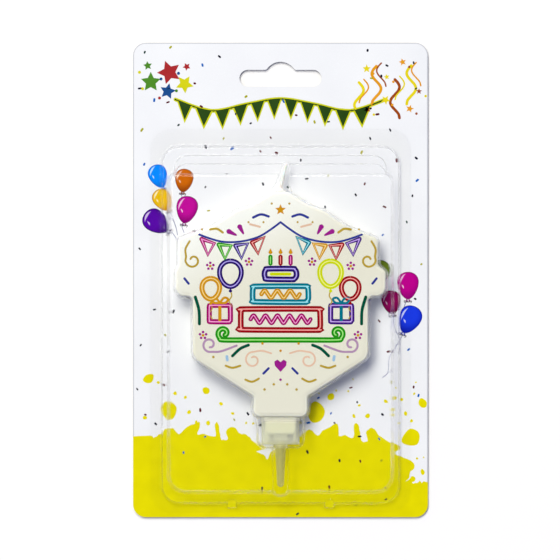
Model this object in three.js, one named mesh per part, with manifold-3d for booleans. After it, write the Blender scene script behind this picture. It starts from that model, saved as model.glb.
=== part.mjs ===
// A carded birthday candle: a printed hang card, a clear formed blister sealed to it, and
// under the blister a flat wax plaque with its wick, pushed into a plastic holder with a spike.
//
// Millimetres. The pack lies on its back: +Z points out of the printed front, +Y towards the
// hang hole, and the origin is the middle of the card's back face.

import * as THREE from 'three';
import { mergeVertices } from 'three/addons/utils/BufferGeometryUtils.js';
import Module from 'manifold-3d';

const wasm = await Module();
wasm.setup();

// Hang card
const cardWidth = 115;
const cardHeight = 185;
const cardThickness = 0.5;
const cardCornerRadius = 5;

// Hang hole: a slot with round ends and a round bump over its middle
const slotLength = 32;
const slotHeight = 6.5;
const slotBelowCardTop = 13.8;
const bumpRadius = 6.4;
const bumpFillet = 1.5;

// Place of the candle: the foot of the plaque's tab over the card's lower edge
const candleAboveCardFoot = 39.4;

// Wax plaque, measured up from the foot of its tab
const plaqueThickness = 9;
const plaqueEdgeRadius = 1;
const plaqueHeight = 87.2;
const apexWidth = 5.6;
const leftEaves = 39.7;
const rightEaves = 37.8;
const eavesHeight = 69.1;
const shoulderTop = 58.8;
const shoulderFoot = 56.4;
const upperBlockWidth = 81.4;
const upperBlockFoot = 46.8;
const lowerBlockWidth = 68;
const lowerBlockFoot = 23;
const tabWidth = 21;
const tabHeight = 8;

// Ogee of the plaque's roof: each bend's share of the way in from the eaves and up to the apex
const roofHollow = { inward: 0.35, upward: 0.26, radius: 20 };
const roofSwell = { inward: 0.6, upward: 0.6, radius: 7 };
const roofNeck = { inward: 0.78, upward: 0.735, radius: 13 };

// Radii of the plaque's other corners
const apexRadius = 1.2;
const eavesRadius = 2;
const shoulderRadius = 2.5;
const shoulderRootRadius = 1;
const blockRadius = 3.6;
const notchRadius = 2.2;
const lowerBlockRadius = 5;
const tabRootRadius = 1.2;
const tabFootRadius = 2.7;

// Tongue under the tab, which the holder grips
const tongueWidth = 11.2;
const tongueThickness = 4.6;
const tongueLength = 6.5;
const tongueCornerRadius = 1.5;

// Printed film on the plaque's front
const filmThickness = 0.15;
const filmBorder = 0.4;

// Wick: a waxed taper that leans a little to the right above the apex
const wickRadius = 0.9;
const wickTipRadius = 0.6;
const wickLength = 11;
const wickLean = 2.3;
const wickEmbedded = 70;
const wickClearance = 0.3;
const nippleHeight = 1.6;
const nippleRadius = 2.2;
const nippleTopRadius = 1.5;

// Holder: socket, lip, floor, boss and hollow spike
const holderWall = 1.4;
const holderFloor = 1.6;
const holderCornerRadius = 1.6;
const lipProjection = 0.4;
const lipHeight = 1.8;
const mouthChamfer = 0.4;
const tongueSideClearance = 0.4;
const tongueFaceClearance = 0.2;
const restClearance = 0.3;
const stopRibHeight = 2.3;
const stopRibWidth = 2.2;
const stopRibSpacing = 7.6;
const bossRadius = 2.8;
const bossHeight = 1.7;
const spikeLength = 16.7;
const spikeRootRadius = 2.1;
const spikeTipRadius = 1.4;
const boreRadius = 1.2;
const boreTipRadius = 0.7;
const spikeTipWall = 1.2;

// Blister: one formed sheet with a flange, a low ledge, a tray and pockets on the tray
const sheetThickness = 0.4;
const flangeSideMargin = 4.3;
const flangeTopMargin = 6.7;
const flangeFootMargin = 3.5;
const flangeCornerRadius = 8;
const ledgeHeight = 2;
const ledgeSideMargin = 2.5;
const ledgeAboveWick = 7;
const ledgeBelowSpike = 6.5;
const ledgeCornerRadius = 7;
const trayHeight = 5.5;
const traySideMargin = 2.3;
const trayHeadroom = 7.9;
const trayFootroom = 2.2;
const trayCornerRadius = 7;
const trayTopCornerRadius = 4;
const trayStepCount = 2;
const trayStepRun = 3.3;
const trayStepInset = 2.5;
const trayStepCornerRadius = 5;
const pocketClearance = 0.4;
const faceClearance = 0.35;
const channelClearance = 1;
const channelHeadroom = 0.5;
const wickSpaceClearance = 0.6;
const wickSpaceFlare = 4.2;
const wickSpaceNeck = 3.2;
const wickSpaceNeckRadius = 3;
const lugWidth = 4;
const lugDepth = 4;
const lugRise = 0.4;
const lugSpacing = 38;

// Bends of the formed sheet, as radii on its outer side, and the slope of its walls
const ledgeBend = { foot: 0.6, top: 0.7, draft: 10 };
const trayBend = { foot: 1.2, top: 2.2, draft: 12 };
const trayStepBend = { foot: 0.4, top: 0.5, draft: 12 };
const plaquePocketBend = { foot: 0.5, top: 1.2, draft: 4 };
const holderPocketBend = { foot: 0.8, top: 1.5, draft: 5 };
const spikeChannelBend = { foot: 0.8, top: 1.7, draft: 5 };
const wickSpaceBend = { foot: 0.8, top: 1, draft: 5 };
const lugBend = { foot: 0.5, top: 0.6, draft: 5 };

// Fineness of the round forms
const turnPerStep = THREE.MathUtils.degToRad(15);
const edgeSteps = 3;
const bendSteps = 3;
const arcSteps = 24;
const turnSteps = 20;
const wickSides = 10;
const smallestRadius = 0.05;

// Levels and places that follow from the sizes above
const cardFront = cardThickness;
const plaqueFootY = candleAboveCardFoot - cardHeight / 2;
const apexY = plaqueFootY + plaqueHeight;
const wickTipY = apexY + wickLength;
const tongueEndY = plaqueFootY - tongueLength;
const socketWidth = tongueWidth + 2 * tongueSideClearance;
const socketDepth = tongueThickness + 2 * tongueFaceClearance;
const holderWidth = socketWidth + 2 * holderWall;
const holderDepth = socketDepth + 2 * holderWall;
const lipDepth = holderDepth + 2 * lipProjection;
const holderTopY = plaqueFootY - restClearance;
const stopRibTopY = tongueEndY - restClearance;
const socketFloorY = stopRibTopY - stopRibHeight;
const holderFootY = socketFloorY - holderFloor;
const spikeTipY = holderFootY - spikeLength;
const candleMiddle = cardFront + Math.max(plaqueThickness / 2, lipDepth / 2 + restClearance / 2);
const plaqueBack = candleMiddle - plaqueThickness / 2;
const plaqueFront = candleMiddle + plaqueThickness / 2;
const filmFront = plaqueFront + filmThickness;
const flangeFront = cardFront + sheetThickness;
const ledgeCrown = flangeFront + ledgeHeight;
const trayCrown = cardFront + trayHeight;
const trayHalfWidth = upperBlockWidth / 2 + pocketClearance + sheetThickness + traySideMargin;
const ledgeHalfWidth = trayHalfWidth + ledgeSideMargin;
const ledgeFootY = spikeTipY - ledgeBelowSpike;
const ledgeTopY = wickTipY + ledgeAboveWick;
const trayTopY = apexY + trayHeadroom;

// A corner of an outline: its place, and the radius that rounds it
function corner(x, y, radius) {
  return { point: new THREE.Vector2(x, y), radius };
}

// The corners of a rectangle, anticlockwise from the lower right
function rectangle({ left, right, foot, top, radius }) {
  return [
    corner(right, foot, radius),
    corner(right, top, radius),
    corner(left, top, radius),
    corner(left, foot, radius),
  ];
}

// The rounded outline through anticlockwise corners, moved outward by offset. Every offset
// gives the same number of points, so two of them can be lofted. Where two roundings meet on
// a short edge, both are made smaller.
function roundedOutline(corners, offset = 0) {
  const count = corners.length;
  const outwards = corners.map(({ point }, i) => {
    const along = corners[(i + 1) % count].point.clone().sub(point).normalize();
    return new THREE.Vector2(along.y, -along.x);
  });
  const bends = corners.map(({ point, radius }, i) => {
    const before = outwards[(i + count - 1) % count];
    const after = outwards[i];
    const angle = Math.atan2(before.cross(after), before.dot(after));
    const side = Math.sign(angle);
    const mitre = before.clone().add(after).divideScalar(1 + before.dot(after));
    const reach = Math.max(radius + side * offset, smallestRadius);
    const tip = point.clone().addScaledVector(mitre, offset);
    return { before, angle, side, mitre, reach, tip, run: reach * Math.abs(Math.tan(angle / 2)) };
  });
  const room = bends.map(({ tip, run }, i) => {
    const next = bends[(i + 1) % count];
    return Math.min(1, tip.distanceTo(next.tip) / (run + next.run));
  });
  return bends.flatMap(({ before, angle, side, mitre, reach, tip }, i) => {
    const radius = side * reach * Math.min(room[i], room[(i + count - 1) % count]);
    const centre = tip.clone().addScaledVector(mitre, -radius);
    const steps = Math.ceil(Math.abs(angle) / turnPerStep);
    return Array.from({ length: steps + 1 }, (_, step) => {
      const direction = before.clone().rotateAround(new THREE.Vector2(), (angle * step) / steps);
      return centre.clone().addScaledVector(direction, radius);
    });
  });
}

// A round outline
function circle(radius, sides, centreX = 0) {
  return Array.from({ length: sides }, (_, i) => {
    const angle = (2 * Math.PI * i) / sides;
    return new THREE.Vector2(centreX + radius * Math.cos(angle), radius * Math.sin(angle));
  });
}

// The closed geometry through rings of equal length, from the lowest to the highest
function loft(rings) {
  const count = rings[0].outline.length;
  const positions = rings.flatMap(({ outline, z }) => outline.flatMap(({ x, y }) => [x, y, z]));
  const faces = [];
  for (let ring = 0; ring < rings.length - 1; ring += 1) {
    for (let i = 0; i < count; i += 1) {
      const a = ring * count + i;
      const b = ring * count + ((i + 1) % count);
      faces.push(a, b, b + count, a, b + count, a + count);
    }
  }
  const top = (rings.length - 1) * count;
  const lowest = THREE.ShapeUtils.triangulateShape(rings[0].outline, []);
  const highest = THREE.ShapeUtils.triangulateShape(rings[rings.length - 1].outline, []);
  lowest.forEach(([a, b, c]) => faces.push(c, b, a));
  highest.forEach(([a, b, c]) => faces.push(top + a, top + b, top + c));
  const geometry = new THREE.BufferGeometry();
  geometry.setAttribute('position', new THREE.Float32BufferAttribute(positions, 3));
  geometry.setIndex(faces);
  return geometry;
}

// A flat piece with both of its edges rounded over
function slab(corners, { back, front, edge }) {
  const rings = [];
  for (let step = 0; step <= edgeSteps; step += 1) {
    const angle = (Math.PI / 2) * (step / edgeSteps);
    rings.push({ inset: edge * (1 - Math.sin(angle)), z: back + edge * (1 - Math.cos(angle)) });
  }
  for (let step = 0; step <= edgeSteps; step += 1) {
    const angle = (Math.PI / 2) * (step / edgeSteps);
    rings.push({ inset: edge * (1 - Math.cos(angle)), z: front - edge * (1 - Math.sin(angle)) });
  }
  return loft(rings.map(({ inset, z }) => ({ outline: roundedOutline(corners, -inset), z })));
}

// A solid for joining and cutting, from a closed geometry
function solid(geometry) {
  const bare = geometry.clone();
  bare.deleteAttribute('normal');
  bare.deleteAttribute('uv');
  const merged = mergeVertices(bare, 1e-5);
  const index = Array.from(merged.index.array);
  const triangles = [];
  for (let i = 0; i < index.length; i += 3) {
    const [a, b, c] = index.slice(i, i + 3);
    if (a !== b && b !== c && c !== a) triangles.push(a, b, c);
  }
  return new wasm.Manifold(new wasm.Mesh({
    numProp: 3,
    vertProperties: new Float32Array(merged.attributes.position.array),
    triVerts: new Uint32Array(triangles),
  }));
}

// A named mesh from a finished solid
function meshOf(name, finished, material) {
  const { vertProperties, triVerts } = finished.getMesh();
  const geometry = new THREE.BufferGeometry();
  geometry.setAttribute('position', new THREE.BufferAttribute(vertProperties, 3));
  geometry.setIndex(new THREE.BufferAttribute(triVerts, 1));
  geometry.computeVertexNormals();
  const mesh = new THREE.Mesh(geometry, new THREE.MeshStandardMaterial(material));
  mesh.name = name;
  return mesh;
}

// Turns a form that was built upright so that it lies along +Y at the candle's mid height
function laidDown(geometry, footY) {
  return geometry.rotateX(-Math.PI / 2).translate(0, footY, candleMiddle);
}

// The card: a punched board with round corners
function hangCard() {
  const halfWidth = cardWidth / 2;
  const halfHeight = cardHeight / 2;
  const board = new THREE.Shape(roundedOutline(rectangle({
    left: -halfWidth,
    right: halfWidth,
    foot: -halfHeight,
    top: halfHeight,
    radius: cardCornerRadius,
  })));
  board.holes.push(hangHole());
  const geometry = new THREE.ExtrudeGeometry(board, {
    depth: cardThickness,
    bevelEnabled: false,
    curveSegments: arcSteps / 2,
  });
  return meshOf('backing_card', solid(geometry), { color: 0xf4f6f9, roughness: 0.45, metalness: 0 });
}

// The hang hole, from the middle of its foot round to the left
function hangHole() {
  const middleY = cardHeight / 2 - slotBelowCardTop;
  const endRadius = slotHeight / 2;
  const endX = slotLength / 2 - endRadius;
  const filletY = middleY + endRadius + bumpFillet;
  const filletX = Math.sqrt((bumpRadius + bumpFillet) ** 2 - (endRadius + bumpFillet) ** 2);
  const rise = Math.atan2(filletY - middleY, filletX);
  const down = -Math.PI / 2;
  const up = Math.PI / 2;
  return new THREE.Path()
    .absarc(-endX, middleY, endRadius, down, up, true)
    .absarc(-filletX, filletY, bumpFillet, down, -rise, false)
    .absarc(0, middleY, bumpRadius, Math.PI - rise, rise, true)
    .absarc(filletX, filletY, bumpFillet, Math.PI + rise, Math.PI - down, false)
    .absarc(endX, middleY, endRadius, up, down, true);
}

// The corners of one half of the plaque, listed upwards on the side that is given as 1 or -1
function plaqueHalf(side, eavesX) {
  const blockX = upperBlockWidth / 2;
  const roofRun = eavesX - apexWidth / 2;
  const roofRise = plaqueHeight - eavesHeight;
  const roofBend = ({ inward, upward, radius }) => (
    [eavesX - inward * roofRun, eavesHeight + upward * roofRise, radius]
  );
  const places = [
    [tabWidth / 2, 0, tabFootRadius],
    [tabWidth / 2, tabHeight, tabRootRadius],
    [lowerBlockWidth / 2, lowerBlockFoot, lowerBlockRadius],
    [lowerBlockWidth / 2, upperBlockFoot, notchRadius],
    [blockX, upperBlockFoot, blockRadius],
    [blockX, shoulderFoot, shoulderRadius],
    [eavesX, shoulderTop, shoulderRootRadius],
    [eavesX, eavesHeight, eavesRadius],
    roofBend(roofHollow),
    roofBend(roofSwell),
    roofBend(roofNeck),
    [apexWidth / 2, plaqueHeight, apexRadius],
  ];
  return places.map(([x, height, radius]) => corner(side * x, plaqueFootY + height, radius));
}

// The plaque's outline: two blocks over a tab, a shoulder on each side, of which the right one
// is the wider, and a roof with an ogee on each side
function plaqueCorners() {
  return [...plaqueHalf(1, rightEaves), ...plaqueHalf(-1, leftEaves).reverse()];
}

// The wick's form, grown by clearance for the channel that it lies in
function wickForm(clearance) {
  const step = (height, radius, lean) => ({
    outline: circle(radius + clearance, wickSides, lean),
    z: height,
  });
  return laidDown(loft([
    step(-wickEmbedded - clearance, wickRadius, 0),
    step(nippleHeight, wickRadius, 0),
    step(wickLength * 0.6, (wickRadius + wickTipRadius) / 2, wickLean * 0.5),
    step(wickLength - wickTipRadius / 2, wickTipRadius, wickLean * 0.97),
    step(wickLength, wickTipRadius / 2, wickLean),
  ]), apexY);
}

// The plaque: cast wax with soft edges, a tongue below, and wax drawn up round the wick
function waxPlaque() {
  const body = solid(slab(plaqueCorners(), {
    back: plaqueBack,
    front: plaqueFront,
    edge: plaqueEdgeRadius,
  }));
  const tongue = solid(slab(rectangle({
    left: -tongueWidth / 2,
    right: tongueWidth / 2,
    foot: tongueEndY,
    top: plaqueFootY + tabHeight / 2,
    radius: tongueCornerRadius,
  }), {
    back: candleMiddle - tongueThickness / 2,
    front: candleMiddle + tongueThickness / 2,
    edge: plaqueEdgeRadius / 2,
  }));
  const nipple = solid(laidDown(loft([
    { outline: circle(nippleRadius, turnSteps), z: -plaqueEdgeRadius },
    { outline: circle(nippleRadius, turnSteps), z: 0 },
    { outline: circle(nippleTopRadius, turnSteps), z: nippleHeight },
  ]), apexY));
  const channel = solid(wickForm(wickClearance));
  const wax = body.add(tongue).add(nipple).subtract(channel);
  return meshOf('wax_plaque', wax, { color: 0xeeebdf, roughness: 0.5, metalness: 0 });
}

// The printed film, let in from the plaque's edge
function printFilm() {
  const outline = roundedOutline(plaqueCorners(), -plaqueEdgeRadius - filmBorder);
  const film = loft([{ outline, z: plaqueFront }, { outline, z: filmFront }]);
  return meshOf('print_film', solid(film), { color: 0xf3f1e8, roughness: 0.3, metalness: 0 });
}

function wick() {
  return meshOf('wick', solid(wickForm(0)), { color: 0xf5f5f0, roughness: 0.7, metalness: 0 });
}

// Level rings of a rounded rectangle, each as an offset from it and a height
function holderRings(width, depth, radius, steps) {
  const outline = rectangle({
    left: -width / 2,
    right: width / 2,
    foot: -depth / 2,
    top: depth / 2,
    radius,
  });
  return loft(steps.map(([offset, z]) => ({ outline: roundedOutline(outline, offset), z })));
}

// The spike and its boss, or the bore inside them, as a turned form along +Y
function turned(profile) {
  const points = profile.map(([radius, y]) => new THREE.Vector2(radius, y));
  return new THREE.LatheGeometry(points, turnSteps).translate(0, 0, candleMiddle);
}

// The points of a round nose at the lower end of a turned form
function nose(radius, endY) {
  return Array.from({ length: edgeSteps + 1 }, (_, step) => {
    const angle = (Math.PI / 2) * (step / edgeSteps);
    return [radius * Math.sin(angle), endY + radius * (1 - Math.cos(angle))];
  });
}

// The holder: one moulding with a lipped socket for the tongue and a hollow spike
function candleHolder() {
  const height = holderTopY - holderFootY;
  const floor = socketFloorY - holderFootY;
  const edge = mouthChamfer;
  const shell = solid(laidDown(holderRings(holderWidth, holderDepth, holderCornerRadius, [
    [-edge, 0],
    [0, edge],
    [0, height - lipHeight],
    [lipProjection, height - lipHeight + lipProjection / 2],
    [lipProjection, height - edge / 2],
    [lipProjection - edge / 2, height],
  ]), holderFootY));
  const socketRadius = Math.max(holderCornerRadius - holderWall, tongueFaceClearance);
  const socket = solid(laidDown(holderRings(socketWidth, socketDepth, socketRadius, [
    [0, floor],
    [0, height - edge],
    [2 * edge, height + edge],
  ]), holderFootY));
  const spike = solid(turned([
    ...nose(spikeTipRadius, spikeTipY),
    [spikeRootRadius, holderFootY - bossHeight],
    [bossRadius - edge, holderFootY - bossHeight],
    [bossRadius, holderFootY - bossHeight + edge],
    [bossRadius, holderFootY + holderFloor / 2],
    [0, holderFootY + holderFloor / 2],
  ]));
  const bore = solid(turned([
    ...nose(boreTipRadius, spikeTipY + spikeTipWall),
    [boreRadius, holderFootY],
    [boreRadius, socketFloorY + restClearance],
    [0, socketFloorY + restClearance],
  ]));
  const holder = stopRibs().reduce((whole, rib) => whole.add(rib), shell.subtract(socket).add(spike));
  return meshOf('candle_holder', holder.subtract(bore), {
    color: 0xe4eadc,
    roughness: 0.35,
    metalness: 0,
    transparent: true,
    opacity: 0.8,
  });
}

// Two ribs across the socket's floor, on which the tongue stops
function stopRibs() {
  const height = stopRibHeight + holderFloor / 2;
  return [-1, 1].map((side) => {
    const rib = new THREE.BoxGeometry(stopRibWidth, height, socketDepth + holderWall);
    const middleY = stopRibTopY - height / 2;
    return solid(rib.translate((side * stopRibSpacing) / 2, middleY, candleMiddle));
  });
}

// One level of the formed sheet, from its foot to its crown. Its wall stands outside the
// corners by reach. The inner side is the same form let in by the sheet's thickness.
function formed({ corners, reach = 0, foot, crown, bend }, inset) {
  const limit = Math.min(1, (crown - foot) / (bend.foot + bend.top));
  const footRadius = bend.foot * limit + inset;
  const topRadius = Math.max(bend.top * limit - inset, smallestRadius);
  const low = foot - inset;
  const high = crown - inset;
  const wallRise = high - topRadius - low - footRadius;
  const topOffset = reach - inset;
  const footOffset = topOffset + wallRise * Math.tan(THREE.MathUtils.degToRad(bend.draft));
  const steps = [{ offset: footOffset + footRadius, z: low - sheetThickness / 2 }];
  for (let step = 0; step <= bendSteps; step += 1) {
    const angle = (Math.PI / 2) * (step / bendSteps);
    steps.push({
      offset: footOffset + footRadius * (1 - Math.sin(angle)),
      z: low + footRadius * (1 - Math.cos(angle)),
    });
  }
  for (let step = 0; step <= bendSteps; step += 1) {
    const angle = (Math.PI / 2) * (step / bendSteps);
    steps.push({
      offset: topOffset - topRadius * (1 - Math.cos(angle)),
      z: high - topRadius * (1 - Math.sin(angle)),
    });
  }
  return solid(loft(steps.map(({ offset, z }) => ({ outline: roundedOutline(corners, offset), z }))));
}

// The low step round the tray
function ledgeLevel() {
  const corners = rectangle({
    left: -ledgeHalfWidth,
    right: ledgeHalfWidth,
    foot: ledgeFootY,
    top: ledgeTopY,
    radius: ledgeCornerRadius,
  });
  return { corners, foot: flangeFront, crown: ledgeCrown, bend: ledgeBend };
}

// The tray that the pockets stand on
function trayLevel() {
  const foot = spikeTipY - trayFootroom;
  const corners = [
    corner(trayHalfWidth, foot, trayCornerRadius),
    corner(trayHalfWidth, trayTopY, trayTopCornerRadius),
    corner(-trayHalfWidth, trayTopY, trayTopCornerRadius),
    corner(-trayHalfWidth, foot, trayCornerRadius),
  ];
  return { corners, foot: ledgeCrown, crown: trayCrown, bend: trayBend };
}

// The steps that climb from the ledge to the tray at its upper end, from the tray outwards
function traySteps() {
  const rise = (trayCrown - ledgeCrown) / (trayStepCount + 1);
  const halfWidth = trayHalfWidth - trayStepInset;
  return Array.from({ length: trayStepCount }, (_, i) => {
    const corners = rectangle({
      left: -halfWidth,
      right: halfWidth,
      foot: trayTopY - 2 * trayStepCornerRadius,
      top: trayTopY + trayStepRun * (i + 1),
      radius: trayStepCornerRadius,
    });
    return { corners, foot: ledgeCrown, crown: trayCrown - rise * (i + 1), bend: trayStepBend };
  });
}

// The pocket that follows the plaque's outline
function plaquePocket() {
  return {
    corners: plaqueCorners(),
    reach: pocketClearance + sheetThickness,
    foot: trayCrown,
    crown: filmFront + faceClearance + sheetThickness,
    bend: plaquePocketBend,
  };
}

// The pocket over the holder's socket
function holderPocket() {
  const corners = rectangle({
    left: -holderWidth / 2 - lipProjection,
    right: holderWidth / 2 + lipProjection,
    foot: holderFootY,
    top: plaqueFootY + tabHeight / 2,
    radius: holderCornerRadius + lipProjection,
  });
  return {
    corners,
    reach: channelClearance + sheetThickness,
    foot: trayCrown,
    crown: candleMiddle + lipDepth / 2 + faceClearance + sheetThickness,
    bend: holderPocketBend,
  };
}

// The channel over the boss and the spike, which runs out through the tray's lower wall
function spikeChannel() {
  const corners = rectangle({
    left: -spikeRootRadius,
    right: spikeRootRadius,
    foot: spikeTipY - channelClearance,
    top: holderFootY,
    radius: spikeRootRadius * 0.95,
  });
  return {
    corners,
    reach: channelClearance + sheetThickness,
    foot: ledgeCrown,
    crown: candleMiddle + bossRadius + channelHeadroom + sheetThickness,
    bend: spikeChannelBend,
  };
}

// The space over the wick, which leans with it and runs out through the tray's upper wall. It
// flares over the nipple into the plaque's pocket.
function wickSpace() {
  const footY = apexY - plaqueEdgeRadius;
  const neckY = apexY + wickSpaceNeck;
  const neckX = wickLean * 0.25;
  const neckHalf = nippleTopRadius + wickClearance;
  const corners = [
    corner(wickSpaceFlare, footY, wickTipRadius),
    corner(neckX + neckHalf, neckY, wickSpaceNeckRadius),
    corner(wickLean + wickTipRadius, wickTipY, wickTipRadius),
    corner(wickLean - wickTipRadius, wickTipY, wickTipRadius),
    corner(neckX - neckHalf, neckY, wickSpaceNeckRadius),
    corner(-wickSpaceFlare, footY, wickTipRadius),
  ];
  return {
    corners,
    reach: wickSpaceClearance + sheetThickness,
    foot: ledgeCrown,
    crown: candleMiddle + nippleRadius + channelHeadroom + sheetThickness,
    bend: wickSpaceBend,
  };
}

// Two lugs astride the ledge's lower wall, which keep stacked blisters from jamming together
function stackingLugs() {
  return [-1, 1].map((side) => {
    const middleX = (side * lugSpacing) / 2;
    const corners = rectangle({
      left: middleX - lugWidth / 2,
      right: middleX + lugWidth / 2,
      foot: ledgeFootY - lugDepth / 2,
      top: ledgeFootY + lugDepth / 2,
      radius: lugWidth / 4,
    });
    return { corners, foot: flangeFront, crown: ledgeCrown + lugRise, bend: lugBend };
  });
}

// The flat rim that is sealed to the card
function flange() {
  const outline = roundedOutline(rectangle({
    left: -ledgeHalfWidth - flangeSideMargin,
    right: ledgeHalfWidth + flangeSideMargin,
    foot: ledgeFootY - flangeFootMargin,
    top: ledgeTopY + flangeTopMargin,
    radius: flangeCornerRadius,
  }));
  return solid(loft([{ outline, z: cardFront }, { outline, z: flangeFront }]));
}

// The blister: every level joined to the flange, and the inner side of every level cut away
function blisterShell() {
  const levels = [
    ledgeLevel(),
    trayLevel(),
    ...traySteps(),
    plaquePocket(),
    holderPocket(),
    spikeChannel(),
    wickSpace(),
    ...stackingLugs(),
  ];
  const outer = levels.reduce((whole, level) => whole.add(formed(level, 0)), flange());
  const shell = levels.reduce((whole, level) => whole.subtract(formed(level, sheetThickness)), outer);
  return meshOf('blister_shell', shell, {
    color: 0xffffff,
    roughness: 0.08,
    metalness: 0,
    transparent: true,
    opacity: 0.2,
  });
}

const carded = new THREE.Group();
const candle = new THREE.Group();
candle.add(waxPlaque(), printFilm(), wick());
carded.add(hangCard(), blisterShell(), candle, candleHolder());

export default carded;
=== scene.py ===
"""The looks of a carded birthday candle.

The pack lies on its back: +Z points out of the printed front and +Y towards the hang hole.
Shapes are in millimetres, and every finished mesh is scaled to metres. The finishes and the
studio are in metres.
"""

from __future__ import annotations

import logging
import math
import random
from collections.abc import Iterable, Sequence
from dataclasses import dataclass, field
from enum import Enum

import bmesh
import bpy
from mathutils import Matrix, Vector
from mathutils.geometry import interpolate_bezier


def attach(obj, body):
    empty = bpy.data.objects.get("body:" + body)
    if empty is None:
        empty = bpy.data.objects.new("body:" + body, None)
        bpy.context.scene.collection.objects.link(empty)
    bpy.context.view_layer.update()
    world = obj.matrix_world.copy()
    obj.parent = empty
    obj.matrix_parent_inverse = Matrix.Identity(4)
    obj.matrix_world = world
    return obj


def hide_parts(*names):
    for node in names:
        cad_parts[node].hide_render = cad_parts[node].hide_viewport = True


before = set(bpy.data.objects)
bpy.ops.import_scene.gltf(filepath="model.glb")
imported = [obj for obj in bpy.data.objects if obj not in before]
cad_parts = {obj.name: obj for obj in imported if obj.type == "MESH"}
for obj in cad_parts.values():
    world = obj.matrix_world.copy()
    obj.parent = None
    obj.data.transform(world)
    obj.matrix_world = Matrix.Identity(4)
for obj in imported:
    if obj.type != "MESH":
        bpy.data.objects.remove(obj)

log = logging.getLogger("carded_candle")

Point = tuple[float, float]
Triple = tuple[float, float, float]
Tree = bpy.types.NodeTree
Socket = bpy.types.NodeSocket
Form = bmesh.types.BMesh
Piece = bpy.types.Object

METRES = Matrix.Scale(0.001, 4)
MERGE = 0.0005
SLIVER = 0.0001
POLE_MERGE = 0.001
SIDES = (-1, 1)
PLAIN = (1.0, 1.0)

# ---------------------------------------------------------------- shader nodes and finishes

NOISE_SPAN = (0.3, 0.7)
PATCH_RISE = 2.5
NOTHING = (0.0, 0.0, 0.0)


def light(code: str) -> tuple[float, ...]:
    """Turns a colour's code of six hexadecimal digits into linear light and full opacity."""
    seen = (level / 255 for level in bytes.fromhex(code))
    return (*(v / 12.92 if v <= 0.04045 else ((v + 0.055) / 1.055) ** 2.4 for v in seen), 1.0)


def wire(tree: Tree, kind: str, feeds: dict | None = None, **options: object) -> bpy.types.Node:
    """Adds one shader node.

    Args:
        tree: The nodes of a material, a group or the world.
        kind: The node's type, without its first words.
        feeds: A value, a colour's code or a socket for each input's name or number.
        options: The node's own settings.

    Returns:
        The node.
    """
    node = tree.nodes.new(f"ShaderNode{kind}")
    for name, value in options.items():
        setattr(node, name, value)
    for name, value in (feeds or {}).items():
        if isinstance(value, Socket):
            tree.links.new(value, node.inputs[name])
        else:
            node.inputs[name].default_value = light(value) if isinstance(value, str) else value
    return node


def blend(tree: Tree, share: Socket, low: Socket | str, high: Socket | str) -> Socket:
    """Mixes two colours by a mask, which is 0 for the first and 1 for the second."""
    return wire(tree, "Mix", {0: share, 6: low, 7: high}, data_type="RGBA").outputs[2]


def maths(tree: Tree, operation: str, first: Socket, second: Socket | float) -> Socket:
    """Gives the result of one sum."""
    return wire(tree, "Math", {0: first, 1: second}, operation=operation).outputs[0]


def spread(
    tree: Tree, value: Socket, span: Point, result: Point = (0.0, 1.0), curve: str = "LINEAR"
) -> Socket:
    """Maps a span of values onto another.

    Args:
        tree: The nodes.
        value: The value.
        span: The span that it comes from.
        result: The span that it is mapped onto.
        curve: Blender's name for the kind of interpolation.

    Returns:
        The new value.
    """
    feeds = {"Value": value, "From Min": span[0], "From Max": span[1]}
    feeds |= {"To Min": result[0], "To Max": result[1]}
    return wire(tree, "MapRange", feeds, interpolation_type=curve).outputs["Result"]


def object_place(tree: Tree) -> Socket:
    """Gives the place on the object, in metres."""
    return wire(tree, "TexCoord").outputs["Object"]


def vector_length(tree: Tree, vector: Socket) -> Socket:
    """Gives a vector's length."""
    return wire(tree, "VectorMath", {0: vector}, operation="LENGTH").outputs["Value"]


def surface_group() -> Tree:
    """Builds, once, the node group that gives every finish its mottling and its grain.

    Returns:
        A group that puts out a mask of broad patches, a mask of fine grain, and the normal.
    """
    name = "mottled_surface"
    if name in bpy.data.node_groups:
        return bpy.data.node_groups[name]
    tree = bpy.data.node_groups.new(name, "ShaderNodeTree")
    scales, results = ("Patch Scale", "Grain Scale", "Depth"), ("Patches", "Grain", "Normal")
    for way, labels in (("INPUT", scales), ("OUTPUT", results)):
        for label in labels:
            kind = "Vector" if label == "Normal" else "Float"
            tree.interface.new_socket(name=label, in_out=way, socket_type=f"NodeSocket{kind}")
    given = tree.nodes.new("NodeGroupInput").outputs
    taken = tree.nodes.new("NodeGroupOutput").inputs
    masks = []
    for label, detail in (("Patch Scale", 2.0), ("Grain Scale", 3.0)):
        feeds = {"Vector": object_place(tree), "Scale": given[label], "Detail": detail}
        masks.append(spread(tree, wire(tree, "TexNoise", feeds).outputs["Fac"], NOISE_SPAN))
    height = maths(tree, "ADD", maths(tree, "MULTIPLY", masks[0], PATCH_RISE), masks[1])
    bump = wire(tree, "Bump", {"Height": height, "Distance": given["Depth"]})
    for label, source in zip(results, (*masks, bump.outputs["Normal"])):
        tree.links.new(source, taken[label])
    return tree


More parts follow.
